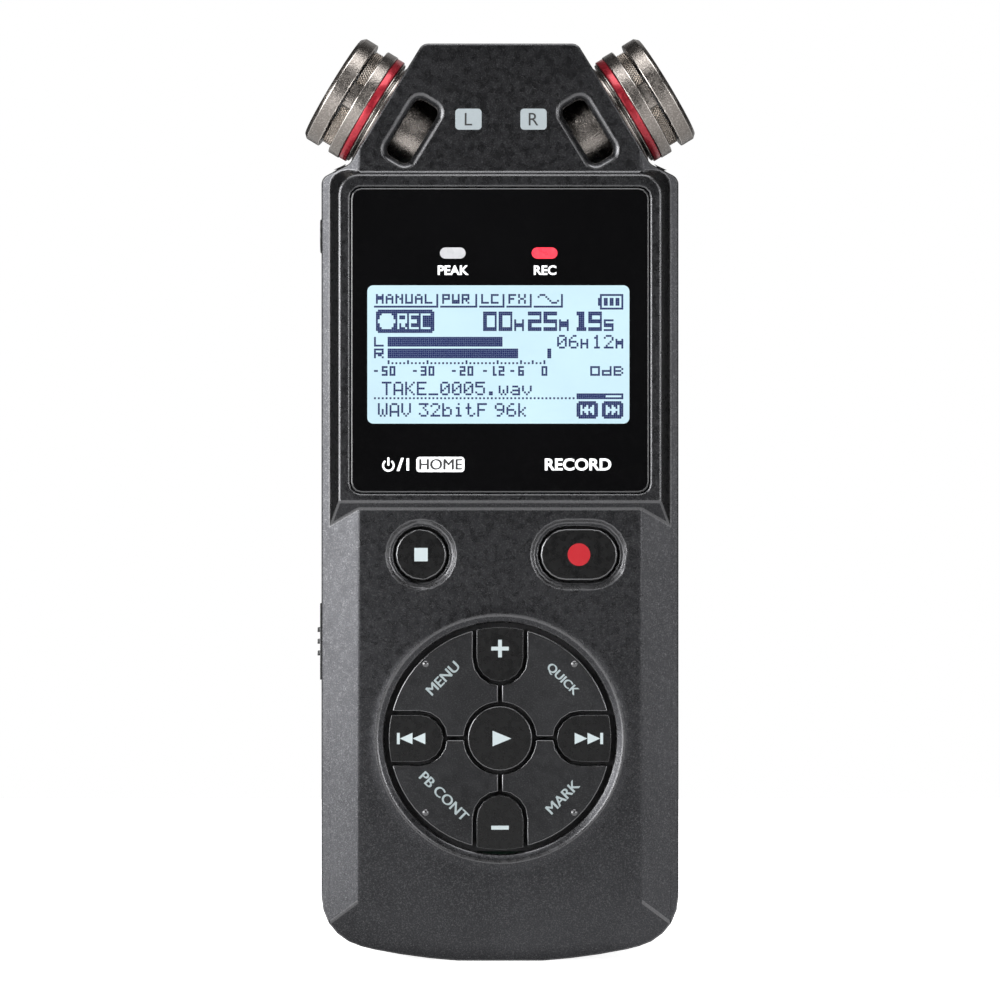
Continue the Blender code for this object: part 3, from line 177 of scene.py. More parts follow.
def buildGrainGroup():
    # moulded texture: fine grain, bright flecks in it, and a slow change of tone
    group, entry, leave = newGroup("mouldedGrain", [
        ("Color", "NodeSocketColor", (0.03, 0.03, 0.03, 1)),
        ("Fleck Color", "NodeSocketColor", (0.2, 0.2, 0.2, 1)),
        ("Grain Scale", "NodeSocketFloat", 4500.0),
        ("Fleck Amount", "NodeSocketFloat", 0.35),
        ("Base Roughness", "NodeSocketFloat", 0.5),
    ], [("Color", "NodeSocketColor"), ("Roughness", "NodeSocketFloat"), ("Height", "NodeSocketFloat")])
    coordinate = group.nodes.new("ShaderNodeTexCoord").outputs["Object"]
    fine = noise(group, coordinate, entry.outputs["Grain Scale"], 3.0, 0.6)
    fleck = mapRange(group, fine, 0.50, 0.68)
    amount = group.nodes.new("ShaderNodeMath")
    amount.operation = "MULTIPLY"
    group.links.new(fleck, amount.inputs[0])
    group.links.new(entry.outputs["Fleck Amount"], amount.inputs[1])
    slow = mapRange(group, noise(group, coordinate, 60.0, 2.0), 0.3, 0.7, 0.85, 1.12)
    tone = group.nodes.new("ShaderNodeVectorMath")
    tone.operation = "SCALE"
    group.links.new(entry.outputs["Color"], tone.inputs[0])
    group.links.new(slow, tone.inputs["Scale"])
    color = mixColor(group, amount.outputs[0], tone.outputs[0], entry.outputs["Fleck Color"])
    rough = group.nodes.new("ShaderNodeMath")
    rough.operation = "ADD"
    group.links.new(entry.outputs["Base Roughness"], rough.inputs[0])
    group.links.new(mapRange(group, noise(group, coordinate, 900.0, 3.0), 0.3, 0.7, -0.06, 0.06),
                    rough.inputs[1])
    group.links.new(color, leave.inputs["Color"])
    group.links.new(rough.outputs[0], leave.inputs["Roughness"])
    group.links.new(fine, leave.inputs["Height"])
    return group


grainGroup = buildGrainGroup()


def grainMaterial(name, settings):
    # settings: color, fleck, scale, flecks, roughness, bump, and where wanted metallic, coat, specular,
    # glow, and round, the radius in mm that edges are shaded with
    material = bpy.data.materials.new(name)
    material.use_nodes = True
    tree = material.node_tree
    shader = tree.nodes["Principled BSDF"]
    grain = tree.nodes.new("ShaderNodeGroup")
    grain.node_tree = grainGroup
    grain.inputs["Color"].default_value = (*settings["color"], 1)
    grain.inputs["Fleck Color"].default_value = (*settings["fleck"], 1)
    grain.inputs["Grain Scale"].default_value = settings["scale"]
    grain.inputs["Fleck Amount"].default_value = settings["flecks"]
    grain.inputs["Base Roughness"].default_value = settings["roughness"]
    bump = tree.nodes.new("ShaderNodeBump")
    bump.inputs["Strength"].default_value = settings["bump"]
    bump.inputs["Distance"].default_value = 0.03 * mm
    if "round" in settings:
        bevel = tree.nodes.new("ShaderNodeBevel")
        bevel.samples = 4
        bevel.inputs["Radius"].default_value = settings["round"] * mm
        tree.links.new(bevel.outputs["Normal"], bump.inputs["Normal"])
    tree.links.new(grain.outputs["Height"], bump.inputs["Height"])
    tree.links.new(grain.outputs["Color"], shader.inputs["Base Color"])
    tree.links.new(grain.outputs["Roughness"], shader.inputs["Roughness"])
    tree.links.new(bump.outputs["Normal"], shader.inputs["Normal"])
    shader.inputs["Metallic"].default_value = settings.get("metallic", 0.0)
    shader.inputs["Coat Weight"].default_value = settings.get("coat", 0.0)
    shader.inputs["Specular IOR Level"].default_value = settings.get("specular", 0.5)
    # glow: emission in the surface's own colour; the display and the record lamp give this light
    # themselves, while on prints and badges it is painted light
    glow = settings.get("glow", 0.0)
    if glow:
        shader.inputs["Emission Color"].default_value = (*settings["color"], 1)
        shader.inputs["Emission Strength"].default_value = glow
    return material


# ---- finishes

finishes = {
    "casePaint": dict(color=(0.046, 0.0465, 0.050), fleck=(0.12, 0.12, 0.125), scale=5200, flecks=0.80,
                      roughness=0.29, bump=0.5, metallic=0.94, round=0.30),
    "padPaint": dict(color=(0.042, 0.0425, 0.045), fleck=(0.08, 0.08, 0.083), scale=5200, flecks=0.6,
                     roughness=0.34, bump=0.4, metallic=0.94, round=0.15),
    # painted highlight: the rounded case edges take this lighter, glossier copy of the paint
    "caseEdgeHighlight": dict(color=(0.13, 0.13, 0.135), fleck=(0.24, 0.24, 0.245), scale=5200, flecks=0.25,
                     roughness=0.28, bump=0.15, metallic=0.94, round=0.30),
    "rearPlastic": dict(color=(0.018, 0.018, 0.020), fleck=(0.08, 0.08, 0.085), scale=2600, flecks=0.30,
                        roughness=0.55, bump=0.6, round=0.25),
    # painted highlight: the rounded rear edges take this slightly lighter copy of the rear plastic
    "rearEdgeHighlight": dict(color=(0.022, 0.022, 0.024), fleck=(0.08, 0.08, 0.085), scale=2600, flecks=0.15,
                     roughness=0.45, bump=0.2, round=0.25),
    "keyPlastic": dict(color=(0.002, 0.002, 0.0022), fleck=(0.010, 0.010, 0.011), scale=5200, flecks=0.25,
                       roughness=0.28, bump=0.10, specular=0.4, round=0.15),
    # painted highlight: the rounded edges of keys and small black parts, and the touch dots, take this
    # light metallic grey
    "darkPartHighlight": dict(color=(0.16, 0.16, 0.165), fleck=(0.24, 0.24, 0.24), scale=4200, flecks=0.15,
                    roughness=0.22, bump=0.03, metallic=0.95),
    "windowBlack": dict(color=(0.0022, 0.0022, 0.0025), fleck=(0.004, 0.004, 0.004), scale=900, flecks=0.2,
                        roughness=0.06, bump=0.0, specular=0.35),
    # painted highlight: the rounded edges of the display window take this lighter grey
    "windowEdgeHighlight": dict(color=(0.05, 0.05, 0.052), fleck=(0.08, 0.08, 0.08), scale=900, flecks=0.2,
                       roughness=0.15, bump=0.0, coat=0.5),
    "lcdField": dict(color=(0.165, 0.228, 0.255), fleck=(0.18, 0.24, 0.265), scale=500, flecks=0.2,
                     roughness=0.45, bump=0.0, glow=2.3),
    "lcdInk": dict(color=(0.014, 0.020, 0.085), fleck=(0.025, 0.03, 0.11), scale=3000, flecks=0.3,
                   roughness=0.6, bump=0.0, specular=0.1),
    # the pale, white and red prints and badges glow: painted light that makes them read brighter, for
    # prints give no light
    "printPale": dict(color=(0.30, 0.345, 0.355), fleck=(0.36, 0.40, 0.41), scale=5000, flecks=0.3,
                      roughness=0.5, bump=0.05, glow=0.7),
    "badgePale": dict(color=(0.22, 0.25, 0.265), fleck=(0.28, 0.31, 0.32), scale=5000, flecks=0.3,
                      roughness=0.5, bump=0.05, glow=0.7),
    "printWhite": dict(color=(0.83, 0.84, 0.85), fleck=(0.9, 0.9, 0.9), scale=5000, flecks=0.3,
                       roughness=0.5, bump=0.05, glow=0.70),
    "printDark": dict(color=(0.02, 0.02, 0.022), fleck=(0.05, 0.05, 0.05), scale=5000, flecks=0.3,
                      roughness=0.5, bump=0.05),
    "printRed": dict(color=(0.27, 0.002, 0.007), fleck=(0.33, 0.01, 0.015), scale=5000, flecks=0.2,
                     roughness=0.4, bump=0.03, glow=0.7),
    "lightGrey": dict(color=(0.50, 0.50, 0.52), fleck=(0.6, 0.6, 0.62), scale=1500, flecks=0.3,
                      roughness=0.3, bump=0.02, coat=0.4),
    "lightRed": dict(color=(0.86, 0.035, 0.06), fleck=(0.95, 0.12, 0.13), scale=1500, flecks=0.3,
                     roughness=0.3, bump=0.02, glow=0.5),
    "blastedMetal": dict(color=(0.27, 0.245, 0.225), fleck=(0.66, 0.61, 0.57), scale=4200, flecks=0.45,
                         roughness=0.26, bump=1.4, metallic=1.0),
    # painted highlight: the rounded metal edges and the knurl teeth take this light metal
    "metalHighlight": dict(color=(0.60, 0.565, 0.53), fleck=(0.80, 0.76, 0.72), scale=3000, flecks=0.3,
                       roughness=0.24, bump=0.15, metallic=1.0),
    "accentRed": dict(color=(0.40, 0.020, 0.035), fleck=(0.60, 0.06, 0.08), scale=3000, flecks=0.3,
                      roughness=0.28, bump=0.1, metallic=0.55, coat=0.3),
    # the grille wires' own colour, also used as painted shade on the ground between the knurl teeth
    "meshSteelAndKnurlShade": dict(color=(0.10, 0.098, 0.094), fleck=(0.25, 0.25, 0.24), scale=2500, flecks=0.4,
                      roughness=0.38, bump=0.2, metallic=1.0),
    "plainSteel": dict(color=(0.50, 0.50, 0.51), fleck=(0.65, 0.65, 0.66), scale=1800, flecks=0.3,
                       roughness=0.30, bump=0.15, metallic=1.0),
    "blackPlastic": dict(color=(0.010, 0.010, 0.011), fleck=(0.04, 0.04, 0.042), scale=3000, flecks=0.3,
                         roughness=0.40, bump=0.25),
    "brass": dict(color=(0.58, 0.40, 0.16), fleck=(0.75, 0.56, 0.28), scale=1500, flecks=0.35,
                  roughness=0.28, bump=0.2, metallic=1.0),
    "boardGreen": dict(color=(0.004, 0.030, 0.015), fleck=(0.01, 0.05, 0.025), scale=1200, flecks=0.3,
                       roughness=0.35, bump=0.1),
    "siliconeGrey": dict(color=(0.05, 0.05, 0.053), fleck=(0.10, 0.10, 0.10), scale=2500, flecks=0.3,
                         roughness=0.7, bump=0.3),
    "trayWhite": dict(color=(0.75, 0.75, 0.74), fleck=(0.85, 0.85, 0.85), scale=1500, flecks=0.3,
                      roughness=0.5, bump=0.1),
    "cellSleeve": dict(color=(0.03, 0.09, 0.05), fleck=(0.06, 0.16, 0.09), scale=800, flecks=0.3,
                       roughness=0.35, bump=0.05, coat=0.3),
    "floorPale": dict(color=(0.93, 0.93, 0.93), fleck=(0.96, 0.96, 0.96), scale=300, flecks=0.3,
                      roughness=0.8, bump=0.0),
}
paint = {name: grainMaterial(name, settings) for name, settings in finishes.items()}
print("finishes made:", len(paint))


# ---- case shells and covers

apron = {           # distances from the pad's middle, depths below the deck, and lifts, all in mm
    "crest": dict(away=(18.3, 19.4), depth=(0.1, 0.5), lift=0.62),
    "innerRing": dict(away=(17.3, 18.1), depth=(0.8, 1.1), lift=0.75),
}
seam = {"rim": 12.15, "lift": 0.29}     # the rear rim's depth behind the face, and how far it comes forward


def swellApron(piece):
    # the apron around the keypad rises to a soft ridge before it drops to the keys
    for vertex in piece.data.vertices:
        away = math.hypot(vertex.co.x - padMiddle.x, vertex.co.z - padMiddle.z)
        depth = vertex.co.y - deck
        for spec in apron.values():
            near, far = spec["away"]
            shallow, deep = spec["depth"]
            if near * mm < away < far * mm and shallow * mm < depth < deep * mm:
                vertex.co.y -= spec["lift"] * mm


def closeSeam(piece):
    # the rims meet, so the seam is a groove that lets no light through the case
    for vertex in piece.data.vertices:
        if abs(vertex.co.y - face - seam["rim"] * mm) < 0.01 * mm:
            vertex.co.y -= seam["lift"] * mm


shells = {
    "front_case": dict(name="frontShell", finish=("casePaint", "caseEdgeHighlight"), width=0.28, body="root",
                       reshape=swellApron),
    "rear_case": dict(name="rearShell", finish=("rearPlastic", "rearEdgeHighlight"), width=0.12, body="root",
                      reshape=closeSeam),
    "battery_door": dict(name="batteryCover", finish=("rearPlastic", "rearEdgeHighlight"), width=0.18,
                         body="battery_door"),
    "card_door": dict(name="cardCover", finish=("rearPlastic", "rearEdgeHighlight"), width=0.12, body="card_door"),
    "hold_slider": dict(name="holdSlide", finish=("blackPlastic", "darkPartHighlight"), width=0.15,
                        body="hold_slider"),
}
for node, spec in shells.items():
    refine(node, spec["name"], [paint[look] for look in spec["finish"]], spec["width"] * mm,
           body=spec["body"], reshape=spec.get("reshape"))
print("shells refined")

letteredKeys = ("menu_key", "quick_key", "playback_key", "mark_key")
keyBodies = ["play_key", "plus_key", "minus_key", "rewind_key", "forward_key", "menu_key", "quick_key",
             "playback_key", "mark_key", "stop_home_key", "record_key"]
for node in keyBodies:
    top, edgeWidth = ("padPaint", 0.2 * mm) if node in letteredKeys else ("keyPlastic", 0.32 * mm)
    refine(node, node.replace("_key", "Cap"), [paint[top], paint["darkPartHighlight"]], edgeWidth, 3, node, 25)
print("keys refined")


# ---- turned pieces

def lathe(name, profile, sides):
    # rings pulled up one after another from a circle, back to the first ring
    deselectAll()
    radius, height = profile[0]
    bpy.ops.mesh.primitive_circle_add(vertices=sides, radius=radius, location=(0, 0, height))
    piece = bpy.context.object
    piece.name = name
    bpy.ops.object.mode_set(mode="EDIT")
    bpy.ops.mesh.select_all(action="SELECT")
    for nextRadius, nextHeight in profile[1:] + profile[:1]:
        bpy.ops.mesh.extrude_region_move(
            TRANSFORM_OT_translate={"value": (0, 0, nextHeight - height)})
        stretch = nextRadius / radius
        bpy.ops.transform.resize(value=(stretch, stretch, 1))
        radius, height = nextRadius, nextHeight
    bpy.ops.mesh.select_all(action="SELECT")
    bpy.ops.mesh.remove_doubles(threshold=0.001 * mm)
    bpy.ops.mesh.normals_make_consistent(inside=False)
    bpy.ops.object.mode_set(mode="OBJECT")
    bakePlace(piece)
    return piece


def softTurned(piece, width=0.08 * mm):
    # painted highlight: the rounded edges take the second, lighter material
    addBevel(piece, width, angle=30, edgeSlot=1)
    applyModifiers(piece)
    smooth(piece, 40)


microphones = {         # profiles are (radius, height) in mm, the height from the cap's front face
    "tilt": 31.2, "sides": 128, "middleToFront": 0.9,
    "cap": [(6.95, -0.30), (7.15, 0.0), (8.40, 0.0), (8.95, -0.60), (8.95, -2.62), (8.85, -2.72),
            (6.60, -2.72), (6.60, -1.35), (6.95, -1.35)],
    "collar": [(6.45, -2.95), (7.70, -2.95), (7.70, -4.45), (8.87, -4.45), (8.95, -4.55),
               (8.95, -6.22), (8.85, -6.32), (6.45, -6.32)],
    "accentRing": [(6.45, -6.36), (8.75, -6.36), (8.82, -6.42), (8.82, -7.46), (8.74, -7.54),
                   (6.45, -7.54)],
    "barrel": [(6.40, -7.60), (8.45, -7.60), (8.55, -7.68), (8.50, -7.86), (7.70, -7.90), (7.70, -8.16),
               (8.15, -8.20), (8.30, -8.32), (8.30, -10.35), (7.50, -10.50),
               (7.50, -17.45), (7.35, -17.60), (6.40, -17.60)],
    "knurl": {"radius": 7.84, "rows": 5, "around": 104, "size": 0.27, "tip": 0.05, "tall": 0.36,
              "low": -4.30, "high": -3.10, "plainHalf": 14.0},
    "grille": {"radius": 7.05, "pitch": 0.46, "wire": 0.16, "height": -0.75, "dome": 0.5},
}


frontward = 270.0       # degrees round a microphone's axis at which its side faces forwards


def micMatrix(side):
    # front face centre and outward direction, from the CAD grille's box and the axis tilt
    word = "left" if side < 0 else "right"
    low, high = (Vector(corner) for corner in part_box("mic_grille_" + word))
    tilt = math.radians(microphones["tilt"])
    outwards = Vector((side * math.cos(tilt), 0, math.sin(tilt)))
    middle = (low + high) / 2 + outwards * microphones["middleToFront"] * mm
    return Matrix.Translation(middle) @ Matrix.Rotation(side * (math.pi / 2 - tilt), 4, "Y")


def scaled(profile):
    return [(radius * mm, height * mm) for radius, height in profile]


def knurlTeeth(name):
    # one small pyramid, copied round the collar in staggered rows, with a plain patch in front
    spec = microphones["knurl"]
    deselectAll()
    bpy.ops.mesh.primitive_cone_add(vertices=4, radius1=spec["size"] * mm, radius2=spec["tip"] * mm,
                                    depth=spec["tall"] * mm, end_fill_type="NGON")
    tooth = bpy.context.object
    corners = [vertex.co.copy() for vertex in tooth.data.vertices]
    faces = [tuple(face.vertices) for face in tooth.data.polygons]
    bpy.data.objects.remove(tooth)
    points, polygons = [], []
    for row in range(spec["rows"]):
        height = spec["low"] + (spec["high"] - spec["low"]) * row / (spec["rows"] - 1)
        for step in range(spec["around"]):
            turn = 360.0 * (step + 0.5 * (row % 2)) / spec["around"]
            if abs(turn - frontward) < spec["plainHalf"]:
                continue
            place = (Matrix.Rotation(math.radians(turn), 4, "Z")
                     @ Matrix.Translation((spec["radius"] * mm, 0, height * mm))
                     @ Matrix.Rotation(math.pi / 2, 4, "Y"))
            start = len(points)
            points += [place @ corner for corner in corners]
            polygons += [[start + index for index in face] for face in faces]
    mesh = bpy.data.meshes.new(name)
    mesh.from_pydata(points, [], polygons)
    piece = bpy.data.objects.new(name, mesh)
    bpy.context.scene.collection.objects.link(piece)
    return piece


def shadeKnurlGround(collar):
    # painted shade: the ground between the knurl teeth takes the dark mesh steel, darker than the collar
    spec = microphones["knurl"]
    ground = microphones["collar"][1][0] * mm
    collar.data.materials.append(paint["meshSteelAndKnurlShade"])
    for face in collar.data.polygons:
        place = face.center
        turn = math.degrees(math.atan2(place.y, place.x)) % 360
        if abs(place.xy.length - ground) < 0.1 * mm and spec["low"] * mm < place.z:
            if abs(turn - frontward) > spec["plainHalf"]:
                face.material_index = 2


def wireDome(name):
    spec = microphones["grille"]
    deselectAll()
    radius = spec["radius"] * mm
    count = round(2 * spec["radius"] / spec["pitch"])
    bpy.ops.mesh.primitive_grid_add(x_subdivisions=count, y_subdivisions=count, size=2 * radius)
    piece = bpy.context.object
    piece.name = name
    bpy.ops.object.mode_set(mode="EDIT")
    bpy.ops.mesh.select_all(action="DESELECT")
    bpy.ops.object.mode_set(mode="OBJECT")
    for vertex in piece.data.vertices:
        vertex.select = vertex.co.length > radius
    bpy.ops.object.mode_set(mode="EDIT")
    bpy.ops.mesh.select_mode(type="VERT")
    bpy.ops.mesh.delete(type="VERT")
    bpy.ops.object.mode_set(mode="OBJECT")
    for vertex in piece.data.vertices:
        share = vertex.co.length / radius
        vertex.co.z = (spec["height"] + spec["dome"] * (1 - share ** 2)) * mm
    wires = piece.modifiers.new("wires", "WIREFRAME")
    wires.thickness = spec["wire"] * mm
    applyModifiers(piece)
    return piece


def buildMicrophones():
    looks = {"cap": ("blastedMetal", "metalHighlight"), "collar": ("blastedMetal", "metalHighlight"),
             "accentRing": ("accentRed", "accentRed"), "barrel": ("blastedMetal", "metalHighlight")}
    stands = {"cap": "mic_cap_", "collar": "mic_collar_", "accentRing": "mic_accent_ring_",
              "barrel": "mic_barrel_"}
    for side, word in ((-1, "left"), (1, "right")):
        place = micMatrix(side)
        for part, look in looks.items():
            piece = lathe("mic_" + part + "_" + word, scaled(microphones[part]), microphones["sides"])
            setMaterials(piece, *(paint[name] for name in look))
            softTurned(piece)
            if part == "collar":
                shadeKnurlGround(piece)
            piece.data.transform(place)
            node = stands[part] + word
            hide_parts(node)
            finishPiece(piece, "root")
        teeth = knurlTeeth("mic_knurl_" + word)
        # painted highlight: the teeth take the light edge metal
        setMaterials(teeth, paint["metalHighlight"])
        teeth.data.transform(place)
        finishPiece(teeth, "root")
        dome = wireDome("mic_mesh_" + word)
        setMaterials(dome, paint["meshSteelAndKnurlShade"])
        smooth(dome, 60, False)
        dome.data.transform(place)
        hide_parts("mic_grille_" + word)
        finishPiece(dome, "root")


buildMicrophones()
jackCollar = [(1.9, 0), (1.9, 0.4), (2.5, 0.4), (2.7, 0.2), (2.7, 0)]
collar = lathe("jackCollar", scaled(jackCollar), 64)
setMaterials(collar, paint["blackPlastic"], paint["darkPartHighlight"])
softTurned(collar, 0.06 * mm)
jackLow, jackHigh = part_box("mic_jack")
collar.data.transform(Matrix.Translation(((jackLow[0] + jackHigh[0]) / 2, (jackLow[1] + jackHigh[1]) / 2,
                                          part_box("front_case")[1][2])))
finishPiece(collar, "root")
print("microphones built")


# ---- prints and signs

def facePlate(name, points, front, thickness, look, body="root"):
    # a flat outline (x, z) given thickness, facing forwards
    mesh = bpy.data.meshes.new(name)
    mesh.from_pydata([(x, front + thickness, z) for x, z in points], [], [list(range(len(points)))])
    piece = bpy.data.objects.new(name, mesh)
    bpy.context.scene.collection.objects.link(piece)
    makeActive(piece)
    bpy.ops.object.mode_set(mode="EDIT")
    bpy.ops.mesh.select_all(action="SELECT")
    bpy.ops.mesh.extrude_region_move(TRANSFORM_OT_translate={"value": (0, -thickness, 0)})
    bpy.ops.mesh.select_all(action="SELECT")
    bpy.ops.mesh.normals_make_consistent(inside=False)
    bpy.ops.object.mode_set(mode="OBJECT")
    setMaterials(piece, paint[look])
    return finishPiece(piece, body)


def roundedBox(centerX, centerZ, width, height, radius, steps=6):
    points = []
    for quarter, (sideX, sideZ) in enumerate(((1, 1), (-1, 1), (-1, -1), (1, -1))):
        for step in range(steps + 1):
            turn = math.pi / 2 * (quarter + step / steps)
            points.append((centerX + sideX * (width / 2 - radius) + radius * math.cos(turn),
                           centerZ + sideZ * (height / 2 - radius) + radius * math.sin(turn)))
    return points


def printText(name, words, capHeight, center, front, look, body="root", turn=0.0, bold=0.0, wide=1.0,
              onto=None, doubled=False):
    deselectAll()
    bpy.ops.object.text_add()
    piece = bpy.context.object
    piece.data.body = words
    piece.data.align_x = "CENTER"
    piece.data.align_y = "CENTER"
    piece.data.offset = bold
    piece.data.extrude = 0.01
    bpy.ops.object.convert(target="MESH")
    piece = bpy.context.object
    piece.name = name
    low = min(vertex.co.y for vertex in piece.data.vertices)
    high = max(vertex.co.y for vertex in piece.data.vertices)
    left = min(vertex.co.x for vertex in piece.data.vertices)
    right = max(vertex.co.x for vertex in piece.data.vertices)
    grow = capHeight / (high - low)
    piece.data.transform(Matrix.Translation((-(left + right) / 2, -(low + high) / 2, 0)))
    piece.data.transform(Matrix.Diagonal((grow * wide, grow, mm, 1)))
    if doubled:             # a second strike beside the first thickens the strokes
        makeActive(piece)
        bpy.ops.object.mode_set(mode="EDIT")
        bpy.ops.mesh.select_all(action="SELECT")
        beside = (0.07 * capHeight, 0.02 * capHeight, 0.002 * mm)
        bpy.ops.mesh.duplicate_move(TRANSFORM_OT_translate={"value": beside})
        bpy.ops.object.mode_set(mode="OBJECT")
    piece.data.transform(Matrix.Rotation(math.pi / 2, 4, "X"))
    piece.data.transform(Matrix.Rotation(-turn, 4, "Y"))
    piece.data.transform(Matrix.Translation((center[0], front, center[1])))
    if onto:                # laid on the surface of the named key
        for vertex in piece.data.vertices:
            start = Vector((vertex.co.x, front - 5 * mm, vertex.co.z))
            found, place, _, _ = bpy.data.objects[onto].ray_cast(start, Vector((0, 1, 0)))
            if found:
                vertex.co.y = place.y - proud
    setMaterials(piece, paint[look])
    return finishPiece(piece, body)


def buildSigns():
    labels = {          # words, cap height, place (x, z), look, width of the letters
        "label_peak": ("PEAK", 1.45, (-7.1, 105.3), "printWhite", 1.02),
        "label_rec": ("REC", 1.45, (6.85, 105.3), "printWhite", 1.02),
        "label_record": ("RECORD", 1.85, (11.85, 75.8), "printWhite", 1.05),
        "label_slash": ("/", 2.0, (-15.15, 75.8), "printWhite", 1.2),
        "label_bar": ("I", 1.85, (-14.0, 75.8), "printWhite", 1.0),
    }
    for name, (words, cap, (x, z), look, wide) in labels.items():
        printText(name, words, cap * mm, (x * mm, z * mm), face - proud, look, wide=wide, bold=0.028)
    facePlate("home_badge", roundedBox(-9.05 * mm, 75.8 * mm, 7.3 * mm, 2.3 * mm, 0.5 * mm), face - proud,
              proud, "printWhite")
    printText("label_home", "HOME", 1.62 * mm, (-9.05 * mm, 75.8 * mm), face - 2 * proud, "printDark",
              wide=1.02, doubled=True)
    ringPoints = [(math.radians(angle), 0.95 * mm) for angle in range(125, 416, 10)]
    inner = [(math.radians(angle), 0.66 * mm) for angle in range(415, 124, -10)]
    arc = [(-16.95 * mm + radius * math.cos(angle), 75.65 * mm + radius * math.sin(angle))
           for angle, radius in ringPoints + inner]
    facePlate("power_ring", arc, face - proud, proud, "printWhite")
    facePlate("power_bar", roundedBox(-16.95 * mm, 76.25 * mm, 0.3 * mm, 1.25 * mm, 0.1 * mm),
              face - proud, proud, "printWhite")
    for side, word in ((-1, "L"), (1, "R")):
        x = (0.15 + side * 4.95) * mm
        facePlate("badge_" + word, roundedBox(x, 128.3 * mm, 4.0 * mm, 3.2 * mm, 0.55 * mm), deck - proud,
                  proud, "badgePale")
        printText("badge_letter_" + word, word, 1.9 * mm, (x, 128.3 * mm), deck - 2 * proud, "printDark")


def touchDot(body, corner):
    # a small raised dot on the outer corner of a lettered key
    reach, radius, flat = 11.3 * mm, 0.55 * mm, 0.5
    deselectAll()
    bpy.ops.mesh.primitive_uv_sphere_add(segments=20, ring_count=10, radius=radius)
    dot = bpy.context.object
    dot.name = "touch_dot_" + body
    dot.data.transform(Matrix.Diagonal((1, flat, 1, 1)))
    dot.data.transform(Matrix.Translation((padMiddle.x + corner[0] * reach, deck,
                                           padMiddle.z + corner[1] * reach)))
    # painted highlight: the whole dot takes the light edge finish
    setMaterials(dot, paint["darkPartHighlight"])
    smooth(dot, 60, False)
    finishPiece(dot, body)


def buildKeySigns():
    x0, z0 = padMiddle.x, padMiddle.z
    top = keyTop - proud
    for name, body, size, place in (
            ("plus_across", "plus_key", (2.67, 0.58), (0, 13.67)),
            ("minus_across", "minus_key", (2.67, 0.60), (0, -13.55))):
        facePlate(name, roundedBox(x0 + place[0] * mm, z0 + place[1] * mm, size[0] * mm, size[1] * mm,
                                   0.04 * mm), top, proud, "printPale", body)
    facePlate("plus_upright", roundedBox(x0, z0 + 13.67 * mm, 0.58 * mm, 2.67 * mm, 0.04 * mm),
              top - 0.002 * mm, proud, "printPale", "plus_key")
    facePlate("play_sign", [(x0 - 1.13 * mm, z0 + 1.19 * mm), (x0 - 1.13 * mm, z0 - 1.19 * mm),
                            (x0 + 1.72 * mm, z0)], top, proud, "printPale", "play_key")
    for side, body in ((-1, "rewind_key"), (1, "forward_key")):
        middle = x0 + side * 13.5 * mm
        for step, start in enumerate((-2.15, -0.2)):
            near = middle + side * start * mm
            facePlate(f"{body}_triangle_{step}", [(near, z0 + 0.87 * mm), (near, z0 - 0.87 * mm),
                                                  (near + side * 1.92 * mm, z0)],
                      top, proud, "printPale", body)
        facePlate(f"{body}_bar", roundedBox(middle + side * 1.95 * mm, z0, 0.44 * mm, 1.72 * mm, 0.03 * mm),
                  top - 0.002 * mm, proud, "printPale", body)
    stop = sum((Vector(corner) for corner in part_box("stop_home_key")), Vector()) / 2
    record = sum((Vector(corner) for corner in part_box("record_key")), Vector()) / 2
    facePlate("stop_sign", roundedBox(stop.x, stop.z, 2.04 * mm, 2.04 * mm, 0.05 * mm), top, proud,
              "printPale", "stop_home_key")
    facePlate("record_sign", roundedBox(record.x, record.z, 3.44 * mm, 3.44 * mm, 1.71 * mm, 10), top,
              proud, "printRed", "record_key")
    words = {
        "menu_key": ("MENU", (-8.7, 9.1), 45), "quick_key": ("QUICK", (9.45, 9.0), -45),
        "playback_key": ("PB CONT", (-8.55, -8.8), -45), "mark_key": ("MARK", (9.5, -8.95), 45)}
    for body, (label, place, turn) in words.items():
        printText("label_" + body, label, 1.52 * mm, (x0 + place[0] * mm, z0 + place[1] * mm), keyTop,
                  "printPale", body, math.radians(turn), wide=1.04, doubled=True,
                  onto=body.replace("_key", "Cap"))
        touchDot(body, (math.copysign(1, place[0]), math.copysign(1, place[1])))


buildSigns()
buildKeySigns()
print("signs printed")


# ---- display

smallGlyphs = dict(zip("AMNULPWRCFXEHSTKdB0123456789-", (
    "69F99 9FF99 9DB99 9999F 8888F F9F88 999FF F9FA9 F888F F8E88 99699 F8E8F 99F99 F8F1F F6666 9ACA9 "
    "11F9F E9E9E F999F 62227 F1F8F F1F1F 99F11 F8F1F F8F9F F1111 F9F9F F9F1F 00E00").split()))
tallGlyphs = dict(zip("ATEKWVFHM_.wavbitk0123456789", (
    "7E1111117E 01017F0101 7F49494941 7F08142241 3F4038403F 1F2040201F 7F09090901 7F0808087F 7F020C027F "
    "4040404040 0060600000 3C4030403C 2054545478 1C2040201C 7F48444438 00447D4000 043F444020 7F10284400 "
    "3E5149453E 00427F4000 4261514946 2141454B31 1814127F10 2745454539 3C4A494930 0171090503 3649494936 "
    "064949291E").split()))

# in mm: the dots' pitch and first corner, and the pale field as x, z, width, height, corner radius
lcd = {
    "pitch": 0.2958, "left": -19.14, "top": 101.68, "field": (-0.25, 92.5, 39.8, 21.0, 0.9),
}
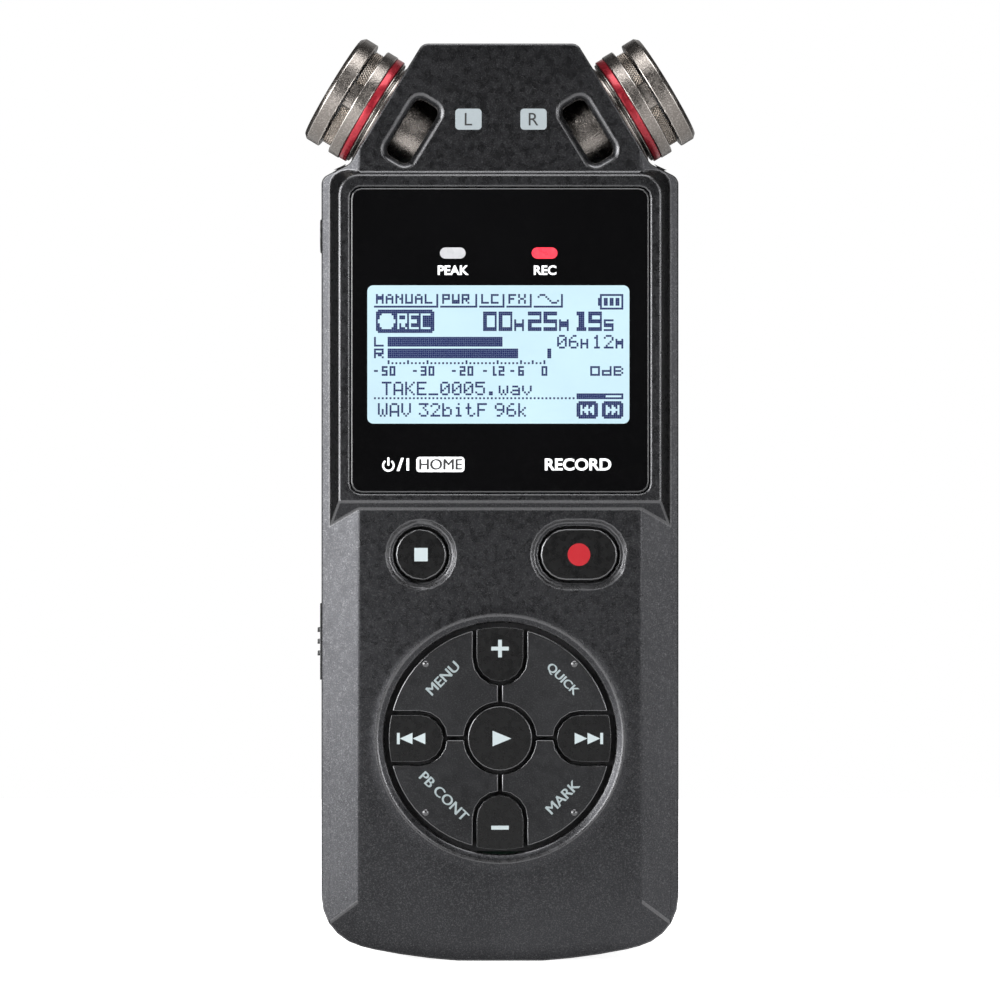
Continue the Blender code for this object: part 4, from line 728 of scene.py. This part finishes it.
# places on the display are counted in dots, from its upper left corner
tabs = (("MANUAL", 1, 0, 32), ("PWR", 35, 34, 52), ("LC", 55, 54, 66), ("FX", 69, 68, 80), ("", 83, 82, 96))
meters = (("L", 22, 65), ("R", 28, 73))             # letter, row, end of the bar
smallWords = (                                      # words, column, row, width and height of a letter
    ("00", 56, 9, 7, 10), ("25", 79, 9, 7, 10), ("19", 102, 9, 7, 10),
    ("H", 72, 13, 5, 6), ("M", 95, 13, 5, 6), ("S", 118, 13, 5, 6),
    ("H", 106, 23, 4, 5), ("M", 124, 23, 4, 5),
    ("-50", 0, 37, 3, 5), ("-30", 20, 37, 3, 5), ("-20", 40, 37, 3, 5), ("-12", 56, 37, 3, 5),
    ("-6", 70, 37, 3, 5), ("0", 86, 37, 3, 5), ("0dB", 111, 37, 5, 5),
)
tallWords = (                                       # words, column, row
    ("06", 94, 21), ("12", 112, 21), ("TAKE_0005.wav", 4, 45),
    ("WAV", 2, 56), ("32bit", 23, 56), ("F", 53, 56), ("96k", 62, 56),
)


def stampSmall(lit, words, column, row, width=4, height=5, value=True):
    for letter in words:
        glyph = smallGlyphs.get(letter)
        for x in range(width):
            for y in range(height):
                line, dot = round(y * 4 / (height - 1)), round(x * 3 / (width - 1))
                if glyph and int(glyph[line], 16) >> (3 - dot) & 1:
                    (lit.add if value else lit.discard)((column + x, row + y))
        column += width + 1


def stampTall(lit, words, column, row):
    for letter in words:
        glyph = tallGlyphs.get(letter, "0" * 10)
        for x in range(5):
            bits = int(glyph[2 * x:2 * x + 2], 16)
            for y in range(7):
                if bits >> y & 1:
                    lit.add((column + x, row + y))
        column += 6


def fill(lit, left, top, right, bottom, value=True):
    for x in range(left, right + 1):
        for y in range(top, bottom + 1):
            (lit.add if value else lit.discard)((x, y))


def fillPlate(lit, left, top, right, bottom):
    # a filled plate without its four corner dots
    fill(lit, left, top, right, bottom)
    for corner in ((left, top), (right, top), (left, bottom), (right, bottom)):
        lit.discard(corner)


def drawTabs(lit):
    for words, column, start, end in tabs:
        stampSmall(lit, words, column, 0)
        fill(lit, start, 6, end, 6)
        fill(lit, end, 0, end, 6)
    for x in range(84, 95):         # little wave
        lit.add((x, round(2 - 2 * math.sin((x - 83) * 2 * math.pi / 12))))


def drawBattery(lit):
    fill(lit, 116, 0, 127, 7)
    fill(lit, 117, 1, 126, 6, False)
    fill(lit, 115, 2, 115, 5)
    for x in (118, 121, 124):
        fill(lit, x, 2, x + 1, 5)


def drawRecordBadge(lit):
    fillPlate(lit, 1, 8, 30, 19)
    for x in range(2, 11):
        for y in range(9, 19):
            if (x - 6) ** 2 + (y - 13.5) ** 2 < 17:
                lit.discard((x, y))
    stampSmall(lit, "REC", 12, 10, 5, 8, False)


def drawMeters(lit):
    for word, row, end in meters:
        stampSmall(lit, word, 0, row, 5, 5)
        fill(lit, 7, row, end, row + 4)
    fill(lit, 89, 28, 90, 32)
    for x in range(7, 89, 2):
        lit.add((x, 35))
    for x in (7, 17, 27, 47, 63, 75, 81, 87):
        lit.add((x, 34))


def drawProgress(lit):
    for x in range(0, 103, 2):
        lit.add((x, 53))
    fill(lit, 104, 51, 127, 53)
    fill(lit, 119, 52, 126, 52, False)


def drawSkipKeys(lit):
    for left, direction in ((104, -1), (117, 1)):
        fillPlate(lit, left, 55, left + 10, 63)
        middle = left + 5
        for arm in range(3):
            for y in range(-2 + arm, 3 - arm):
                lit.discard((middle + direction * (arm - 3), 59 + y))
                lit.discard((middle + direction * arm, 59 + y))
        fill(lit, middle + direction * 3, 57, middle + direction * 3, 61, False)


def drawScreen():
    lit = set()
    for draw in (drawTabs, drawBattery, drawRecordBadge, drawMeters, drawProgress, drawSkipKeys):
        draw(lit)
    for place in smallWords:
        stampSmall(lit, *place)
    for place in tallWords:
        stampTall(lit, *place)
    return lit


def buildDisplay():
    x, z, width, height, radius = (value * mm for value in lcd["field"])
    field = facePlate("display_field", roundedBox(x, z, width, height, radius), face - proud, proud,
                      "lcdField")
    pitch = lcd["pitch"] * mm
    dot = 0.485 * pitch         # half a dot, with a hair's gap to the next
    points, faces = [], []
    front = face - 1.6 * proud
    for column, row in sorted(drawScreen()):
        centerX = lcd["left"] * mm + (column + 0.5) * pitch
        centerZ = lcd["top"] * mm - (row + 0.5) * pitch
        start = len(points)
        points += [(centerX + sx * dot, front, centerZ + sz * dot)
                   for sx, sz in ((-1, -1), (1, -1), (1, 1), (-1, 1))]
        faces.append((start, start + 1, start + 2, start + 3))
    mesh = bpy.data.meshes.new("display_dots")
    mesh.from_pydata(points, [], faces)
    dots = bpy.data.objects.new("display_dots", mesh)
    bpy.context.scene.collection.objects.link(dots)
    setMaterials(dots, paint["lcdInk"])
    finishPiece(dots, "root")
    for side, word, look in ((-1, "peak", "lightGrey"), (1, "rec", "lightRed")):
        points = roundedBox((-0.2 + side * 6.97) * mm, 107.9 * mm, 3.9 * mm, 1.7 * mm, 0.84 * mm, 8)
        lamp = facePlate("status_light_" + word, points, face - 3 * proud, 3 * proud, look)
        addBevel(lamp, 0.05 * mm, 2, 40)
        applyModifiers(lamp)
        smooth(lamp)


buildDisplay()
print("display drawn")


# ---- the remaining CAD nodes keep their shape

others = {
    "display_window": dict(name="windowPane", finish=("windowBlack", "windowEdgeHighlight"), width=0.16),
    "mic_jack": dict(name="micSocket", finish=("blackPlastic", "darkPartHighlight"), width=0.15),
    "phones_jack": dict(name="phonesSocket", finish=("blackPlastic", "darkPartHighlight"), width=0.15),
    "usb_port": dict(name="dataPort", finish=("plainSteel", "metalHighlight"), width=0.06),
    "tripod_nut": dict(name="tripodInsert", finish=("brass", "metalHighlight"), width=0.25),
    "loudspeaker": dict(name="speakerUnit", finish=("blackPlastic", "darkPartHighlight"), width=0.3),
    "card_socket": dict(name="cardHolder", finish=("plainSteel", "metalHighlight"), width=0.05),
    "key_mat": dict(name="keyMat", finish=("siliconeGrey",), width=0.1),
    "main_board": dict(name="mainBoard", finish=("boardGreen",), width=0.05),
    "light_tray": dict(name="lightTray", finish=("trayWhite",), width=0.1),
    "lcd_panel": dict(name="displayPanel", finish=("lcdField",), width=0.1),
    "memory_card": dict(name="memoryCard", finish=("blackPlastic", "darkPartHighlight"), width=0.06,
                        body="memory_card"),
}
for node, spec in others.items():
    refine(node, spec["name"], [paint[look] for look in spec["finish"]], spec["width"] * mm,
           body=spec.get("body", "root"))
carried = {         # CAD nodes that are shown as they are
    "lightGrey": ["peak_light_pipe"], "lightRed": ["record_light_pipe"],
    "cellSleeve": ["battery_1", "battery_2"],
    "plainSteel": ["hold_switch", "contact_bridge", "contact_plus", "contact_minus", "spring_1",
                   "spring_2", "mic_capsule_left", "mic_capsule_right", "case_screw_1", "case_screw_2",
                   "case_screw_3", "case_screw_4"],
}
for look, names in carried.items():
    for node in names:
        setMaterials(nodes[node], paint[look])
print("remaining nodes finished")


# ---- stage, lights and camera

studio = {
    "middle": 70.4 * mm, "viewHeight": 152.4 * mm, "viewDepth": 3.0 * mm, "lens": 200.0, "sensor": 36.0,
    "floor": (2.4, 1.2), "floorPlace": (0, -0.15, 0), "floorGlow": (0.02, 0.93), "worldGlow": (0.05, 1.0),
    "lights": {                     # place, size, watts
        "leftBox": ((-0.62, -0.36, 0.14), (0.45, 0.66), 6.3),
        "leftFront": ((-0.40, -0.70, 0.16), (0.12, 0.50), 2.4),
        "rightBox": ((0.66, -0.30, 0.10), (0.30, 0.60), 1.2),
        "rightFront": ((0.44, -0.68, 0.06), (0.10, 0.40), 1.4),
        "topBox": ((0.0, -0.25, 0.75), (0.8, 0.4), 4.0),
        "frontFill": ((0.34, -0.90, 0.34), (0.22, 0.22), 0.55),
        "backLight": ((0.25, 0.9, 0.45), (0.9, 0.9), 1.0),
    },
}


def buildStage():
    scene = bpy.context.scene
    scene.view_settings.view_transform = "Standard"
    deselectAll()
    bpy.ops.mesh.primitive_plane_add(size=1.0, location=(0, 0, 0))
    floor = bpy.context.object
    floor.data.transform(Matrix.Translation(studio["floorPlace"])
                         @ Matrix.Diagonal((*studio["floor"], 1, 1)))
    floor.name = "floor"
    setMaterials(floor, paint["floorPale"])
    floorTree = paint["floorPale"].node_tree     # the floor looks pale without lighting the recorder
    floorShader = floorTree.nodes["Principled BSDF"]
    floorShader.inputs["Emission Color"].default_value = (1, 1, 1, 1)
    seen = floorTree.nodes.new("ShaderNodeLightPath").outputs["Is Camera Ray"]
    glow = mapRange(floorTree, seen, 0.0, 1.0, *studio["floorGlow"])
    floorTree.links.new(glow, floorShader.inputs["Emission Strength"])
    for name, (place, size, watts) in studio["lights"].items():
        light = bpy.data.lights.new(name, "AREA")
        light.shape = "RECTANGLE"
        light.size, light.size_y = size
        light.energy = watts
        lamp = bpy.data.objects.new(name, light)
        scene.collection.objects.link(lamp)
        lamp.location = place
        aim = Vector((0, 0, studio["middle"])) - lamp.location
        lamp.rotation_euler = aim.to_track_quat("-Z", "Y").to_euler()
    world = bpy.data.worlds.new("studioWorld")
    scene.world = world
    world.use_nodes = True
    tree = world.node_tree
    background = tree.nodes["Background"]
    background.inputs["Color"].default_value = (1, 1, 1, 1)
    path = tree.nodes.new("ShaderNodeLightPath")
    strength = mapRange(tree, path.outputs["Is Camera Ray"], 0.0, 1.0, *studio["worldGlow"])
    tree.links.new(strength, background.inputs["Strength"])
    cameraData = bpy.data.cameras.new("studioCamera")
    cameraData.lens = studio["lens"]
    cameraData.sensor_width = studio["sensor"]
    camera = bpy.data.objects.new("studioCamera", cameraData)
    scene.collection.objects.link(camera)
    distance = studio["viewHeight"] * studio["lens"] / studio["sensor"]
    camera.location = (0, face + studio["viewDepth"] - distance, studio["middle"])
    camera.rotation_euler = (math.pi / 2, 0, 0)
    scene.camera = camera


buildStage()
print("stage set")
